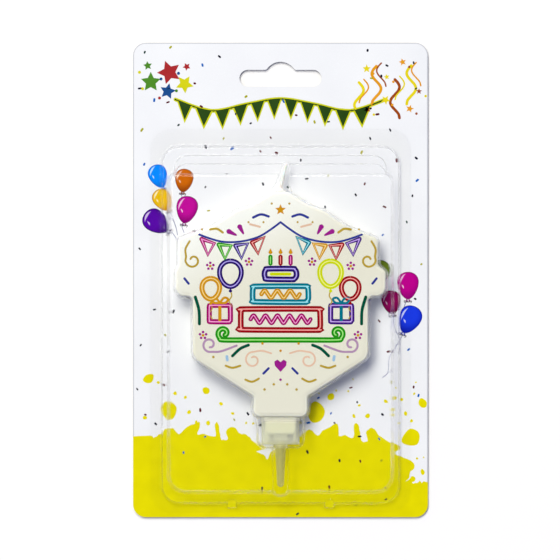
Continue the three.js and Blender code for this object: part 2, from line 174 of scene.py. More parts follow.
@dataclass(frozen=True)
class Finish:
    """What every finish has: a name, a mottled base colour, and the grain of its surface."""

    name: str
    low: str
    high: str
    roughness: Point
    patch_scale: float
    grain_scale: float
    depth: float
    sockets: tuple[tuple[str, float | Triple], ...] = ()

    def colour(self, tree: Tree, patches: Socket) -> Socket:
        """Gives the base colour from the mask of broad patches."""
        return blend(tree, patches, self.low, self.high)

    def surface(self, tree: Tree, shader: Socket) -> Socket:
        """Gives the shader that is seen, from the Principled one."""
        return shader

    def material(self) -> bpy.types.Material:
        """Builds the material, or finds it if it is there.

        Returns:
            The material, named after the finish.
        """
        if self.name in bpy.data.materials:
            return bpy.data.materials[self.name]
        made = bpy.data.materials.new(self.name)
        made.use_nodes = True
        tree = made.node_tree
        tree.nodes.clear()
        feeds = {"Patch Scale": self.patch_scale, "Grain Scale": self.grain_scale}
        feeds["Depth"] = self.depth
        masks = wire(tree, "Group", feeds, node_tree=surface_group()).outputs
        feeds = {
            "Base Color": self.colour(tree, masks["Patches"]),
            "Roughness": spread(tree, masks["Grain"], (0.0, 1.0), self.roughness),
            "Normal": masks["Normal"],
            **dict(self.sockets),
        }
        shader = wire(tree, "BsdfPrincipled", feeds).outputs[0]
        wire(tree, "OutputMaterial", {"Surface": self.surface(tree, shader)})
        return made


@dataclass(frozen=True)
class BoardFinish(Finish):
    """Coated board: white in front, with painted shade greying its rim along the die cut, and pulp
    on its edges and back.
    """

    pulp: str = "b9b2a4"
    front: float = 0.00049
    # Painted shade for the rim of the front face, in place of the shade along its pressed-down
    # edge.
    cut: str = "a9adb6"
    rim_shade_width: float = 0.0005
    corner_middle: Point = (0.0525, 0.0875)
    corner_radius: float = 0.005

    def rim_shade_mask(self, tree: Tree, spot: Socket) -> Socket:
        """Masks the rim along the whole outline, where shade is painted in for the edge that the
        die has pressed down.

        Args:
            tree: The nodes.
            spot: The place on the card.

        Returns:
            The mask.
        """
        middle = (*self.corner_middle, 1.0)
        for step, other in (("ABSOLUTE", NOTHING), ("SUBTRACT", middle), ("MAXIMUM", NOTHING)):
            spot = wire(tree, "VectorMath", {0: spot, 1: other}, operation=step).outputs[0]
        span = (self.corner_radius - self.rim_shade_width, self.corner_radius)
        return spread(tree, vector_length(tree, spot), span)

    def colour(self, tree: Tree, patches: Socket) -> Socket:
        """Gives white on the front face, painted shade greying its rim, and pulp on the faces
        under it.

        Args:
            tree: The nodes.
            patches: The mask of broad patches.

        Returns:
            The base colour.
        """
        spot = object_place(tree)
        white = super().colour(tree, patches)
        # Paints shade into the rim of the front face.
        printed = blend(tree, self.rim_shade_mask(tree, spot), white, self.cut)
        height = wire(tree, "SeparateXYZ", {0: spot}).outputs["Z"]
        return blend(tree, maths(tree, "GREATER_THAN", height, self.front), self.pulp, printed)


@dataclass(frozen=True)
class ClearFinish(Finish):
    """See-through plastic, whose shadow is a thin tint instead of a solid dark one."""

    shadow: str = "ffffff"
    wall_shadow: str = "585a74"
    grazing: Point = (0.6, 0.95)

    def surface(self, tree: Tree, shader: Socket) -> Socket:
        """Lets light through to what is under it, dimmed only where it grazes a wall or a bend.

        Args:
            tree: The nodes.
            shader: The Principled shader.

        Returns:
            The shader that is seen.
        """
        path = wire(tree, "LightPath").outputs
        facing = wire(tree, "LayerWeight", {"Blend": 0.5}).outputs["Facing"]
        dimmed = blend(tree, spread(tree, facing, self.grazing), self.shadow, self.wall_shadow)
        tint = wire(tree, "BsdfTransparent", {"Color": dimmed}).outputs[0]
        for ray in ("Is Shadow Ray", "Is Diffuse Ray"):
            shader = wire(tree, "MixShader", {0: path[ray], 1: shader, 2: tint}).outputs[0]
        return shader


@dataclass(frozen=True)
class MouldedFinish(ClearFinish):
    """Milky plastic, with a painted highlight that whitens the lip, and the yellow of the card
    that shows through painted into the thin spike.
    """

    # Painted colour: the yellow of the card that shows through the thin spike, painted into it.
    spike: str = "d2cf8a"
    body_span: Point = (-0.066, -0.062)
    # Painted highlight on the lip, standing in for the light that its edges catch.
    lip: str = "fefdee"
    lip_highlight_span: Point = (-0.0556, -0.055)

    def colour(self, tree: Tree, patches: Socket) -> Socket:
        """Gives the spike's colour, with the card's yellow that shows through painted in, which
        turns into the body's and then into the lip's painted highlight.

        Args:
            tree: The nodes.
            patches: The mask of broad patches.

        Returns:
            The base colour.
        """
        along = wire(tree, "SeparateXYZ", {0: object_place(tree)}).outputs["Y"]
        body = super().colour(tree, patches)
        # Paints a highlight onto the lip.
        body = blend(tree, spread(tree, along, self.lip_highlight_span), body, self.lip)
        # Paints the card's yellow, which shows through, into the spike.
        return blend(tree, spread(tree, along, self.body_span), self.spike, body)


@dataclass(frozen=True)
class FilmFinish(Finish):
    """Milky wax or film, with painted shade: lightest under the roof and at the upper left, where
    the light comes from, and a shade darker and yellower below.
    """

    # Painted shade: the colour that the wax and film fade to, away from the light at the upper
    # left.
    shade: str = "e5e4d2"
    lean: float = 0.5
    shade_span: Point = (-0.04, 0.0)

    def colour(self, tree: Tree, patches: Socket) -> Socket:
        """Fades the mottled colour towards the painted shade, from the lit upper left downwards.

        Args:
            tree: The nodes.
            patches: The mask of broad patches.

        Returns:
            The base colour.
        """
        spot = wire(tree, "SeparateXYZ", {0: object_place(tree)}).outputs
        across = maths(tree, "MULTIPLY", spot["X"], self.lean)
        slope = maths(tree, "SUBTRACT", across, spot["Y"])
        # Painted shade, growing from the upper left towards the lower right.
        share = spread(tree, slope, self.shade_span, curve="SMOOTHSTEP")
        return blend(tree, share, super().colour(tree, patches), self.shade)


@dataclass(frozen=True)
class BalloonFinish(Finish):
    """A printed balloon, which darkens from its lit side to its rim, by its own UV map."""

    lit_place: Point = (0.42, 0.62)
    rim_span: Point = (0.26, 0.72)

    def colour(self, tree: Tree, patches: Socket) -> Socket:
        """Gives the lighter colour round the lit place, and the darker one at the rim.

        Args:
            tree: The nodes.
            patches: The mask of broad patches, which a balloon doesn't show.

        Returns:
            The base colour.
        """
        feeds = {"Vector": wire(tree, "UVMap", uv_map="print").outputs["UV"]}
        feeds["Location"] = (*(-v for v in self.lit_place), 0.0)
        away = vector_length(tree, wire(tree, "Mapping", feeds).outputs[0])
        rim = spread(tree, away, self.rim_span, curve="SMOOTHSTEP")
        return blend(tree, rim, self.high, self.low)


class Material(Enum):
    """The materials of the pieces, each with the name of the record's slot, which is kept but
    given to no piece.
    """

    BOARD = (
        BoardFinish("coated_board", "eaecef", "eff1f3", (0.2, 0.3), 40, 2600, 0.000004,
                    (("Specular IOR Level", 0.3),)),
        "card_board",
    )
    SHEET = (
        ClearFinish("clear_formed_sheet", "fdfeff", "ffffff", (0.02, 0.05), 45, 300, 0.000001,
                    (("Transmission Weight", 1.0), ("IOR", 1.38), ("Alpha", 0.4),
                     ("Specular IOR Level", 0.3))),
        "clear_sheet",
    )
    WAX = (
        FilmFinish("cast_wax", "f6f6ec", "fafaf2", (0.3, 0.45), 70, 1500, 0.00003,
                   (("Subsurface Weight", 0.6), ("Subsurface Scale", 0.0015),
                    ("Subsurface Radius", (1.0, 0.9, 0.7)))),
        "wax",
    )
    FILM = (
        FilmFinish("printed_film", "f5f8f1", "f9fcf6", (0.2, 0.28), 35, 1200, 0.00001,
                   (("Specular IOR Level", 0.3),)),
        "film",
    )
    COTTON = (
        Finish("twisted_cotton", "eceadf", "faf9f4", (0.45, 0.65), 300, 6000, 0.00005,
               (("Subsurface Weight", 0.3), ("Subsurface Scale", 0.001))),
        "waxed_cotton",
    )
    MILKY = (
        MouldedFinish("moulded_polypropylene", "eeefd8", "f2f3de", (0.1, 0.18), 120, 2500,
                      0.00001, (("Transmission Weight", 0.66), ("IOR", 1.4)),
                      shadow="fafaf2", wall_shadow="d0d0c0"),
        "milky_plastic",
    )

    def __init__(self, finish: Finish, slot: str) -> None:
        """Keeps the finish and the record's slot."""
        self.finish, self.slot = finish, slot


# ---------------------------------------------------------------- outlines and solid forms


def polar(centre: Point, reach: float, angle: float) -> Point:
    """Gives the point at a distance and an angle, in radians, from a centre."""
    return (centre[0] + reach * math.cos(angle), centre[1] + reach * math.sin(angle))


def around(count: int) -> list[float]:
    """Gives the angles of a whole turn in equal steps."""
    return [math.tau * step / count for step in range(count)]


def flat(points: Iterable[Vector]) -> list[Point]:
    """Gives the X and Y of some points."""
    return [(point.x, point.y) for point in points]


@dataclass(frozen=True)
class Outline:
    """A closed outline through anticlockwise corners: each one's place and its rounding."""

    corners: tuple[Triple, ...]
    turn: float = math.radians(7.5)
    smallest: float = 0.05

    @classmethod
    def box(cls, middle: float, half: float, foot: float, top: float, radius: float) -> Outline:
        """Gives a rectangle with four like corners, to both sides of a middle line.

        Args:
            middle: The place of the middle line.
            half: Half the width.
            foot: The place of the lower side.
            top: The place of the upper side.
            radius: The rounding of every corner.

        Returns:
            The outline.
        """
        left, right = middle - half, middle + half
        places = ((right, foot), (right, top), (left, top), (left, foot))
        return cls(tuple((x, y, radius) for x, y in places))

    def ring(self, offset: float = 0.0) -> list[Vector]:
        """Rounds the corners, with the whole outline moved outward.

        Args:
            offset: How far it is moved. Every offset gives the same number of points.

        Returns:
            The points, anticlockwise.
        """
        points = [Vector(corner[:2]) for corner in self.corners]
        edges = [(b - a).normalized() for a, b in zip(points, points[1:] + points[:1])]
        outwards = [Vector((edge.y, -edge.x)) for edge in edges]
        bends, tips, runs = [], [], []
        for before, after, point, corner in zip(
            outwards[-1:] + outwards[:-1], outwards, points, self.corners
        ):
            angle = math.atan2(before.cross(after), before.dot(after))
            side = math.copysign(1, angle)
            mitre = (before + after) / (1 + before.dot(after))
            reach = side * max(corner[2] + side * offset, self.smallest)
            bends.append((before, angle, reach, mitre))
            tips.append(point + mitre * offset)
            runs.append(abs(reach * math.tan(angle / 2)))
        count = len(tips)
        rooms = [min(1.0, (tips[n] - tips[n - 1]).length / (runs[n] + runs[n - 1]))
                 for n in range(count)]
        ring = []
        for n, (before, angle, reach, mitre) in enumerate(bends):
            radius = reach * min(rooms[n], rooms[(n + 1) % count])
            centre = tips[n] - mitre * radius
            steps = math.ceil(abs(angle) / self.turn)
            for step in range(steps + 1):
                ring.append(centre + Matrix.Rotation(angle * step / steps, 2) @ before * radius)
        return ring


def loft(levels: Iterable[tuple[list[Vector], float]]) -> Form:
    """Bridges level outlines, from the lowest to the highest, and closes both ends.

    Args:
        levels: Each outline with its height.

    Returns:
        The closed form.
    """
    form = bmesh.new()
    loops = []
    for outline, height in levels:
        verts = [form.verts.new((*point, height)) for point in outline]
        loops.append([form.edges.new(pair) for pair in zip(verts, verts[1:] + verts[:1])])
    for low, high in zip(loops, loops[1:]):
        bmesh.ops.bridge_loops(form, edges=low + high)
    for end in (loops[0], loops[-1]):
        bmesh.ops.contextual_create(form, geom=end)
    bmesh.ops.remove_doubles(form, verts=form.verts, dist=MERGE)
    bmesh.ops.dissolve_degenerate(form, edges=form.edges, dist=SLIVER)
    bmesh.ops.recalc_face_normals(form, faces=form.faces)
    return form


def slab(outline: Outline, middle: float, half: float, edge: float, steps: int = 6) -> Form:
    """Makes a flat form whose two rims are rounded over.

    Args:
        outline: Its widest outline.
        middle: The height of its middle.
        half: Half its thickness.
        edge: The radius of its rims.
        steps: How many strips round each rim.

    Returns:
        The closed form.
    """
    quarter = [math.pi / 2 * step / steps for step in range(steps + 1)]
    bends = [(1 - math.cos(a), 1 - math.sin(a)) for a in quarter]
    levels = [(-edge * inset, middle - half + edge * rise) for rise, inset in bends]
    levels += [(-edge * inset, middle + half - edge * drop) for inset, drop in bends]
    return loft((outline.ring(offset), height) for offset, height in levels)


def turned(profile: list[Point], middle: float, sides: int = 40) -> Form:
    """Spins a profile round the line along Y at a given height.

    Args:
        profile: Each point's radius and its place along Y. Both ends lie on the axis.
        middle: The height of the axis.
        sides: How many strips round it.

    Returns:
        The closed form.
    """
    form = bmesh.new()
    verts = [form.verts.new((radius, y, middle)) for radius, y in profile]
    edges = [form.edges.new(pair) for pair in zip(verts, verts[1:])]
    axis = {"cent": (0, 0, middle), "axis": (0, 1, 0), "angle": math.tau}
    bmesh.ops.spin(form, geom=verts + edges, steps=sides, use_merge=True, **axis)
    bmesh.ops.remove_doubles(form, verts=form.verts, dist=POLE_MERGE)
    bmesh.ops.recalc_face_normals(form, faces=form.faces)
    return form


def stood_up(form: Form, foot: float, middle: float) -> Form:
    """Lays an upright form along +Y.

    Args:
        form: The form.
        foot: The place of its foot.
        middle: The height of its axis.

    Returns:
        The same form.
    """
    lean = Matrix.Rotation(-math.pi / 2, 3, "X")
    bmesh.ops.rotate(form, verts=form.verts, cent=(0, 0, 0), matrix=lean)
    bmesh.ops.translate(form, verts=form.verts, vec=(0, foot, middle))
    return form


def placed(name: str, data: bpy.types.ID) -> Piece:
    """Links a new object to the scene.

    Args:
        name: Its name.
        data: Its mesh, curve, camera or lamp.

    Returns:
        The object, at the origin.
    """
    made = bpy.data.objects.new(name, data)
    bpy.context.scene.collection.objects.link(made)
    return made


def as_object(name: str, form: Form) -> Piece:
    """Puts a form into the scene, in metres.

    Args:
        name: The object's name.
        form: The form, which is used up.

    Returns:
        The object, at the origin.
    """
    form.transform(METRES)
    mesh = bpy.data.meshes.new(name)
    form.to_mesh(mesh)
    form.free()
    return placed(name, mesh)


def evaluated(made: Piece) -> bpy.types.Mesh:
    """Gives a new mesh of an object as it is seen, with its modifiers."""
    seen = made.evaluated_get(bpy.context.evaluated_depsgraph_get())
    return bpy.data.meshes.new_from_object(seen)


def carved(name: str, base: Form, *steps: tuple[str, list[Form]]) -> Piece:
    """Joins forms to a base and cuts others away, in the order given.

    Args:
        name: The finished object's name.
        base: The first form.
        steps: The boolean operation of each step, with its forms.

    Returns:
        The object, with nothing left to apply.
    """
    made = as_object(name, base)
    tools = []
    for operation, forms in steps:
        for form in forms:
            tools.append(as_object(f"{name}_tool", form))
            step = made.modifiers.new(operation, "BOOLEAN")
            step.operation, step.solver, step.object = operation, "MANIFOLD", tools[-1]
    whole = evaluated(made)
    made.modifiers.clear()
    made.data = whole
    for tool in tools:
        bpy.data.objects.remove(tool)
    return made


def tubes(
    name: str, lines: list[tuple[list[Vector], list[float]]], resolution: int, capped: bool
) -> Form:
    """Makes a round tube along every line.

    Args:
        name: The name of the curve that they are made from.
        lines: Each tube's points, and its radius at each of them.
        resolution: Blender's measure of how round they are.
        capped: Whether their ends are closed.

    Returns:
        The tubes as one form.
    """
    curve = bpy.data.curves.new(name, "CURVE")
    curve.dimensions, curve.bevel_depth, curve.bevel_resolution = "3D", 1.0, resolution
    curve.use_fill_caps = capped
    for points, radii in lines:
        path = curve.splines.new("POLY")
        path.points.add(len(points) - 1)
        for knot, point, radius in zip(path.points, points, radii):
            knot.co, knot.radius = (*point, 1), radius
    holder = placed(name, curve)
    form = bmesh.new()
    form.from_mesh(evaluated(holder))
    bpy.data.objects.remove(holder)
    bpy.data.curves.remove(curve)
    return form


def dress(piece: Piece, body: str, finish: Finish, slot: str) -> Piece:
    """Gives a piece its finish and its place in the pack.

    Args:
        piece: The finished mesh object.
        body: The body that it moves with.
        finish: Its finish.
        slot: The record's slot, which is not used.

    Returns:
        The piece.
    """
    piece.data.materials.clear()
    piece.data.materials.append(finish.material())
    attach(piece, body)
    log.info("%s rides on %s, %d faces", piece.name, body, len(piece.data.polygons))
    return piece


def stand_in(piece: Piece, body: str, material: Material, node: str, crease: float = 32.0) -> None:
    """Shades and dresses a piece, and puts it in the place of its plain solid.

    Args:
        piece: The finished mesh object.
        body: The body that it moves with.
        material: Its material.
        node: The solid that it stands for.
        crease: The angle in degrees past which an edge stays sharp.
    """
    piece.data.shade_smooth()
    piece.data.set_sharp_from_angle(angle=math.radians(crease))
    weights = piece.modifiers.new("weights", "WEIGHTED_NORMAL")
    weights.keep_sharp = True
    dress(piece, body, material.finish, material.slot)
    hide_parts(node)


def recoat(node: str, material: Material) -> None:
    """Gives a solid that stays as it is its finish.

    Args:
        node: The solid.
        material: Its material.
    """
    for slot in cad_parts[node].material_slots:
        slot.material = material.finish.material()
    log.info("%s keeps its solid", node)


# ---------------------------------------------------------------- the studio


@dataclass
class Studio:
    """The camera over the pack, the pale floor, and the soft lamps."""

    camera_height: float = 1.3
    picture_width: float = 0.2184
    picture_centre: Point = (-0.0002, 0.0)
    card_front: float = 0.0005
    sensor: float = 36.0
    floor_level: float = -0.0006
    floor_reach: float = 2.0
    lamps: tuple[tuple[str, float, float, float, float], ...] = (
        ("key_lamp", -20.0, 52.0, 2.9, 216.0),
        ("side_lamp", -64.0, 64.0, 2.2, 84.0),
    )
    lamp_colour: str = "fffcf0"
    lamp_distance: float = 5.2
    room: Triple = (1.3, 0.26, 0.55)
    mirrored_room: Triple = (0.4, 0.04, 0.5)
    room_colour: str = "d3d9ff"

    def camera(self) -> None:
        """Hangs the camera straight over the card, with the hang hole at the top."""
        lens = bpy.data.cameras.new("camera")
        lens.sensor_width = self.sensor
        lens.lens = self.sensor * (self.camera_height - self.card_front) / self.picture_width
        holder = placed("camera", lens)
        holder.location = (*self.picture_centre, self.camera_height)
        bpy.context.scene.camera = holder

    def floor(self) -> None:
        """Lays a plain pale floor under the pack."""
        form = bmesh.new()
        bmesh.ops.create_grid(form, x_segments=1, y_segments=1, size=self.floor_reach * 1000)
        bmesh.ops.translate(form, verts=form.verts, vec=(0, 0, self.floor_level * 1000))
        plane = as_object("floor", form)
        finish = Finish("pale_floor", "f8f8f8", "f9f9f9", (0.7, 0.8), 3, 400, 0.0)
        plane.data.materials.append(finish.material())

    def hang_lamps(self) -> None:
        """Hangs round lamps, each by its turn from +Y, its rise, its size and its power."""
        for name, turn, rise, size, power in self.lamps:
            lamp = bpy.data.lights.new(name, "AREA")
            lamp.shape, lamp.size, lamp.energy = "DISK", size, power
            lamp.color = light(self.lamp_colour)[:3]
            holder = placed(name, lamp)
            rise = math.radians(rise)
            level = Vector((0, math.cos(rise), 0))
            away = Matrix.Rotation(math.radians(-turn), 3, "Z") @ level
            away.z = math.sin(rise)
            holder.location = away * self.lamp_distance
            holder.rotation_euler = away.to_track_quat("Z", "Y").to_euler()

    def light_room(self) -> None:
        """Gives the room its dim, cool light, dimmer still where it is mirrored."""
        world = bpy.data.worlds.new("studio")
        world.use_nodes = True
        tree = world.node_tree
        tree.nodes.clear()
        way = wire(tree, "SeparateXYZ", {0: wire(tree, "TexCoord").outputs["Generated"]})
        mix = {0: wire(tree, "LightPath").outputs["Is Glossy Ray"]}
        for side, (horizon, overhead, rise) in enumerate((self.room, self.mirrored_room)):
            strength = spread(tree, way.outputs["Z"], (0.0, rise), (horizon, overhead))
            mix[2 + side] = strength
        feeds = {"Color": self.room_colour, "Strength": wire(tree, "Mix", mix).outputs[0]}
        glow = wire(tree, "Background", feeds)
        wire(tree, "OutputWorld", {"Surface": glow.outputs[0]})
        bpy.context.scene.world = world
        bpy.context.scene.view_settings.view_transform = "Standard"

    def build(self) -> None:
        """Builds the studio."""
        for part in (self.camera, self.floor, self.hang_lamps, self.light_room):
            part()


# ---------------------------------------------------------------- the candle's shared sizes


@dataclass(frozen=True)
class CandleSizes:
    """The sizes that the plaque, the holder and the formed sheet share."""

    card_front: float = 0.5
    plaque_foot: float = -53.1
    plaque_height: float = 87.2
    plaque_thickness: float = 9.0
    plaque_edge: float = 0.8
    middle: float = 5.0
    block_half: float = 40.7
    eaves: Point = (39.7, 37.8)
    roof_foot: float = 69.1
    cap_half: float = 2.8
    roof: tuple[Triple, ...] = ((0.35, 0.26, 20.0), (0.6, 0.6, 7.0), (0.78, 0.735, 13.0))
    film_front: float = 9.65
    tab_height: float = 8.0
    tongue_width: float = 11.2
    tongue_thickness: float = 4.6
    tongue_length: float = 6.5
    wick_length: float = 11.0
    wick_lean: float = 2.3
    wick_tip_radius: float = 0.6
    nipple_radius: float = 2.2
    nipple_top: float = 1.5
    boss_radius: float = 2.8
    holder_width: float = 14.8
    holder_depth: float = 7.8
    holder_top: float = -53.2
    holder_foot: float = -63.8
    holder_corner: float = 1.6
    lip: float = 0.4
    boss_height: float = 1.7
    spike_root: float = 2.1
    spike_tip: float = -80.5

    @property
    def apex(self) -> float:
        """The place of the plaque's top along Y."""
        return self.plaque_foot + self.plaque_height

    def half_plaque(self, side: int, eaves: float) -> list[Triple]:
        """Gives the corners of one half of the plaque, upwards.

        Args:
            side: 1 for the right half, -1 for the left one.
            eaves: How far the eaves stand from the middle.

        Returns:
            The corners.
        """
        rise, run = self.plaque_height - self.roof_foot, eaves - self.cap_half
        block = self.block_half
        places = (
            (10.5, 0.0, 2.7), (10.5, self.tab_height, 1.2), (34.0, 23.0, 5.0), (34.0, 46.8, 2.2),
            (block, 46.8, 3.6), (block, 56.4, 2.5), (eaves, 58.8, 1.0),
            (eaves, self.roof_foot, 2.0),
            *((eaves - inward * run, self.roof_foot + upward * rise, radius)
              for inward, upward, radius in self.roof),
            (self.cap_half, self.plaque_height, 1.2),
        )
        return [(side * x, self.plaque_foot + y, radius) for x, y, radius in places]

    def plaque(self) -> Outline:
        """Gives the outline: two blocks over a tab, and a roof with an ogee on each side."""
        left, right = self.eaves
        return Outline((*self.half_plaque(1, right), *reversed(self.half_plaque(-1, left))))

    def wick_space(self) -> Outline:
        """Gives the space over the wick, which flares into the plaque's pocket.

        Returns:
            Its outline.
        """
        foot, neck = self.apex - self.plaque_edge, self.apex + 3.2
        tip, end, lean = self.apex + self.wick_length, self.wick_tip_radius, self.wick_lean
        middle, half = lean * 0.25, self.nipple_top + 0.3
        return Outline(((4.2, foot, end), (middle + half, neck, 3.0), (lean + end, tip, end),
                        (lean - end, tip, end), (middle - half, neck, 3.0), (-4.2, foot, end)))


# ---------------------------------------------------------------- the formed sheet


@dataclass(frozen=True)
class Level:
    """One level of the formed sheet, from its foot to its crown."""

    outline: Outline
    foot: float
    crown: float
    reach: float = 0.0
    foot_bend: float = 0.8
    top_bend: float = 1.5
    draft: float = 5.0

    def form(self, inset: float, steps: int = 7) -> Form:
        """Makes the level as a solid form.

        Args:
            inset: Nothing for the outer side, the sheet's thickness for the inner one.
            steps: How many strips round each bend.

        Returns:
            The closed form.
        """
        slope = math.radians(90 - self.draft)
        height, fall = self.crown - self.foot, 1 - math.cos(slope)
        share = min(1.0, height / ((self.foot_bend + self.top_bend) * fall))
        low_bend, top_bend = self.foot_bend * share, self.top_bend * share
        bends = low_bend + top_bend
        top = (self.reach - top_bend, self.crown - top_bend)
        run = bends * math.sin(slope) + (height - bends * fall) / math.tan(slope)
        low = (top[0] + run, self.foot + low_bend)
        arc = [slope * step / steps for step in range(steps + 1)]
        outer, inner = low_bend + inset, max(top_bend - inset, self.outline.smallest)
        levels = [(low[0], self.foot - inset - 0.2)]
        levels += [(low[0] - outer * math.sin(a), low[1] - outer * math.cos(a)) for a in arc]
        levels += [(top[0] + inner * math.sin(a), top[1] + inner * math.cos(a)) for a in arc[::-1]]
        return loft((self.outline.ring(offset), height) for offset, height in levels)


@dataclass
class FormedBlister:
    """The clear blister: one formed sheet with a flange, a ledge, a tray and its pockets."""

    sizes: CandleSizes
    sheet: float = 0.4
    air: float = 0.02
    flange_margins: Triple = (4.3, 3.5, 6.7)
    flange_corner: float = 8.0
    ledge_half: float = 46.3
    ledge_span: Point = (-87.0, 52.1)
    ledge_rise: float = 2.0
    tray_half: float = 43.8
    tray_span: Point = (-82.7, 42.0)
    tray_crown: float = 6.0
    corners: Point = (7.0, 4.0)
    soft_draft: float = 28.0
    steps: int = 2
    step_run: float = 3.3
    step_inset: float = 2.5
    step_overlap: float = 10.0
    lugs: Point = (-19.0, 19.0)
    lug_half: float = 2.0
    lug_rise: float = 0.4
    clearance: float = 1.0
    plaque_clearance: float = 0.4
    wick_clearance: float = 0.6
    tip_room: float = 2.3
    headroom: float = 0.35
    channel_headroom: float = 0.5

    def levels(self) -> list[Level]:
        """Gives every level over the flange, from the ledge to the lugs.

        Returns:
            The levels. Those of the ledge, the tray and its steps slope more than the pockets.
        """
        s, sheet, soft, box = self.sizes, self.sheet, self.soft_draft, Outline.box
        flange, crown, middle = s.card_front + sheet, self.tray_crown, s.middle
        ledge, face = flange + self.ledge_rise, self.headroom + sheet
        (foot, top), (tray_foot, tray_top) = self.ledge_span, self.tray_span
        half, (broad, tight) = self.tray_half, self.corners
        tray = Outline(((half, tray_foot, broad), (half, tray_top, tight),
                        (-half, tray_top, tight), (-half, tray_foot, broad)))
        socket = box(0, s.holder_width / 2 + s.lip, s.holder_foot,
                     s.plaque_foot + s.tab_height / 2, s.holder_corner + s.lip)
        channel = box(0, s.spike_root, s.spike_tip - self.tip_room, s.holder_foot,
                      s.spike_root * 0.95)
        reach = self.clearance + sheet
        levels = [
            Level(box(0, self.ledge_half, foot, top, broad), flange, ledge, 0, 0.7, 0.9, soft),
            Level(tray, ledge, crown, 0, 1.2, 2.2, soft),
            Level(s.plaque(), crown, s.film_front + face,
                  self.plaque_clearance + sheet, 0.5, 1.2, 4),
            Level(socket, crown, middle + s.holder_depth / 2 + s.lip + face, reach),
            Level(channel, ledge, middle + s.boss_radius + self.channel_headroom + sheet,
                  reach, 0.8, 1.7),
            Level(s.wick_space(), ledge, middle + s.nipple_radius + self.channel_headroom + sheet,
                  self.wick_clearance + sheet, 0.8, 1.0),
        ]
        for step in range(1, self.steps + 1):
            stair = box(0, half - self.step_inset, tray_top - self.step_overlap,
                        tray_top + self.step_run * step, 5)
            height = crown - (crown - ledge) * step / (self.steps + 1)
            levels.append(Level(stair, ledge, height, 0, 0.4, 0.5, soft))
        for side in self.lugs:
            lug = box(side, self.lug_half, foot - self.lug_half, foot + self.lug_half, 1)
            levels.append(Level(lug, flange, ledge + self.lug_rise, 0, 0.5, 0.6))
        return levels

    def build(self) -> None:
        """Forms the sheet."""
        side, below, above = self.flange_margins
        foot, top = self.ledge_span
        rim = Outline.box(0, self.ledge_half + side, foot - below, top + above, self.flange_corner)
        front, levels = self.sizes.card_front, self.levels()
        flange = loft((rim.ring(), front + rise) for rise in (self.air, self.sheet))
        outer, inner = ([level.form(inset) for level in levels] for inset in (0.0, self.sheet))
        shell = carved("formed_blister", flange, ("UNION", outer), ("DIFFERENCE", inner))
        stand_in(shell, "blister", Material.SHEET, "blister_shell")


# ---------------------------------------------------------------- the candle


@dataclass
class PlaqueCandle:
    """The cast wax plaque with its tongue, its printed film and its wick."""

    sizes: CandleSizes
    tongue_corner: float = 1.5
    tongue_edge: float = 0.5
    nipple: tuple[Point, ...] = (
        (0, -1), (2.2, -1), (2.2, 0), (2, 0.5), (1.7, 1.2), (1.5, 1.6), (0, 1.6),
    )
    wick_embedded: float = 70.0
    wick_radius: float = 0.9
    wick_air: float = 0.3
    strands: int = 3
    twist_length: float = 5.0
    twist_steps: int = 10
    strand_reach: float = 0.46
    strand_radius: float = 0.53

    def wick_line(self) -> list[tuple[Vector, float]]:
        """Gives the wick's middle line, upwards.

        Returns:
            Its points, each with the wick's radius there.
        """
        s, thick, thin = self.sizes, self.wick_radius, self.sizes.wick_tip_radius
        end, lean = s.wick_length, s.wick_lean
        knots = ((0.0, -self.wick_embedded, thick), (0.0, 1.6, thick),
                 (lean * 0.5, end * 0.6, (thick + thin) / 2), (lean * 0.97, end - 0.3, thin),
                 (lean, end, thin / 2))
        return [(Vector((x, s.apex + y, s.middle)), radius) for x, y, radius in knots]

    def channel(self) -> Form:
        """Makes the round channel that the wick lies in.

        Returns:
            The form that is cut from the wax.
        """
        s, levels = self.sizes, []
        for spot, radius in self.wick_line():
            reach = radius + self.wick_air
            ring = [Vector(polar((spot.x, 0), reach, a)) for a in around(24)]
            levels.append((ring, spot.y - s.apex))
        levels[0] = (levels[0][0], levels[0][1] - self.wick_air)
        return stood_up(loft(levels), s.apex, s.middle)

    def wax(self) -> None:
        """Casts the plaque, with its tongue below and wax drawn up round the wick."""
        s = self.sizes
        body = slab(s.plaque(), s.middle, s.plaque_thickness / 2, s.plaque_edge)
        tongue = Outline.box(0, s.tongue_width / 2, s.plaque_foot - s.tongue_length,
                             s.plaque_foot + s.tab_height / 2, self.tongue_corner)
        grip = slab(tongue, s.middle, s.tongue_thickness / 2, self.tongue_edge)
        nipple = turned([(radius, s.apex + rise) for radius, rise in self.nipple], s.middle)
        joins, cuts = ("UNION", [grip, nipple]), ("DIFFERENCE", [self.channel()])
        plaque = carved("cast_plaque", body, joins, cuts)
        stand_in(plaque, "candle", Material.WAX, "wax_plaque")

    def wick(self) -> None:
        """Twists the wick from its strands."""
        line = self.wick_line()
        bottom, top = line[0][0].y, line[-1][0].y
        count = int((top - bottom) / self.twist_length * self.twist_steps)
        strands = []
        for strand in range(self.strands):
            points, radii = [], []
            for step in range(count + 1):
                y = bottom + (top - bottom) * step / count
                pairs = zip(line, line[1:])
                (low, thick), (high, thin) = next(p for p in pairs if y <= p[1][0].y + 1e-6)
                share = (y - low.y) / (high.y - low.y)
                radius = thick + (thin - thick) * share
                angle = math.tau * ((y - bottom) / self.twist_length + strand / self.strands)
                away = Vector((math.cos(angle), 0, math.sin(angle))) * radius
                points.append(low.lerp(high, share) + away * self.strand_reach)
                radii.append(radius * self.strand_radius)
            strands.append((points, radii))
        yarn = as_object("twisted_wick", tubes("twisted_wick", strands, 2, True))
        stand_in(yarn, "candle", Material.COTTON, "wick", 60)

    def build(self) -> None:
        """Builds the plaque and the wick, and gives the film its finish."""
        self.wax()
        self.wick()
        recoat("print_film", Material.FILM)


# ---------------------------------------------------------------- the holder


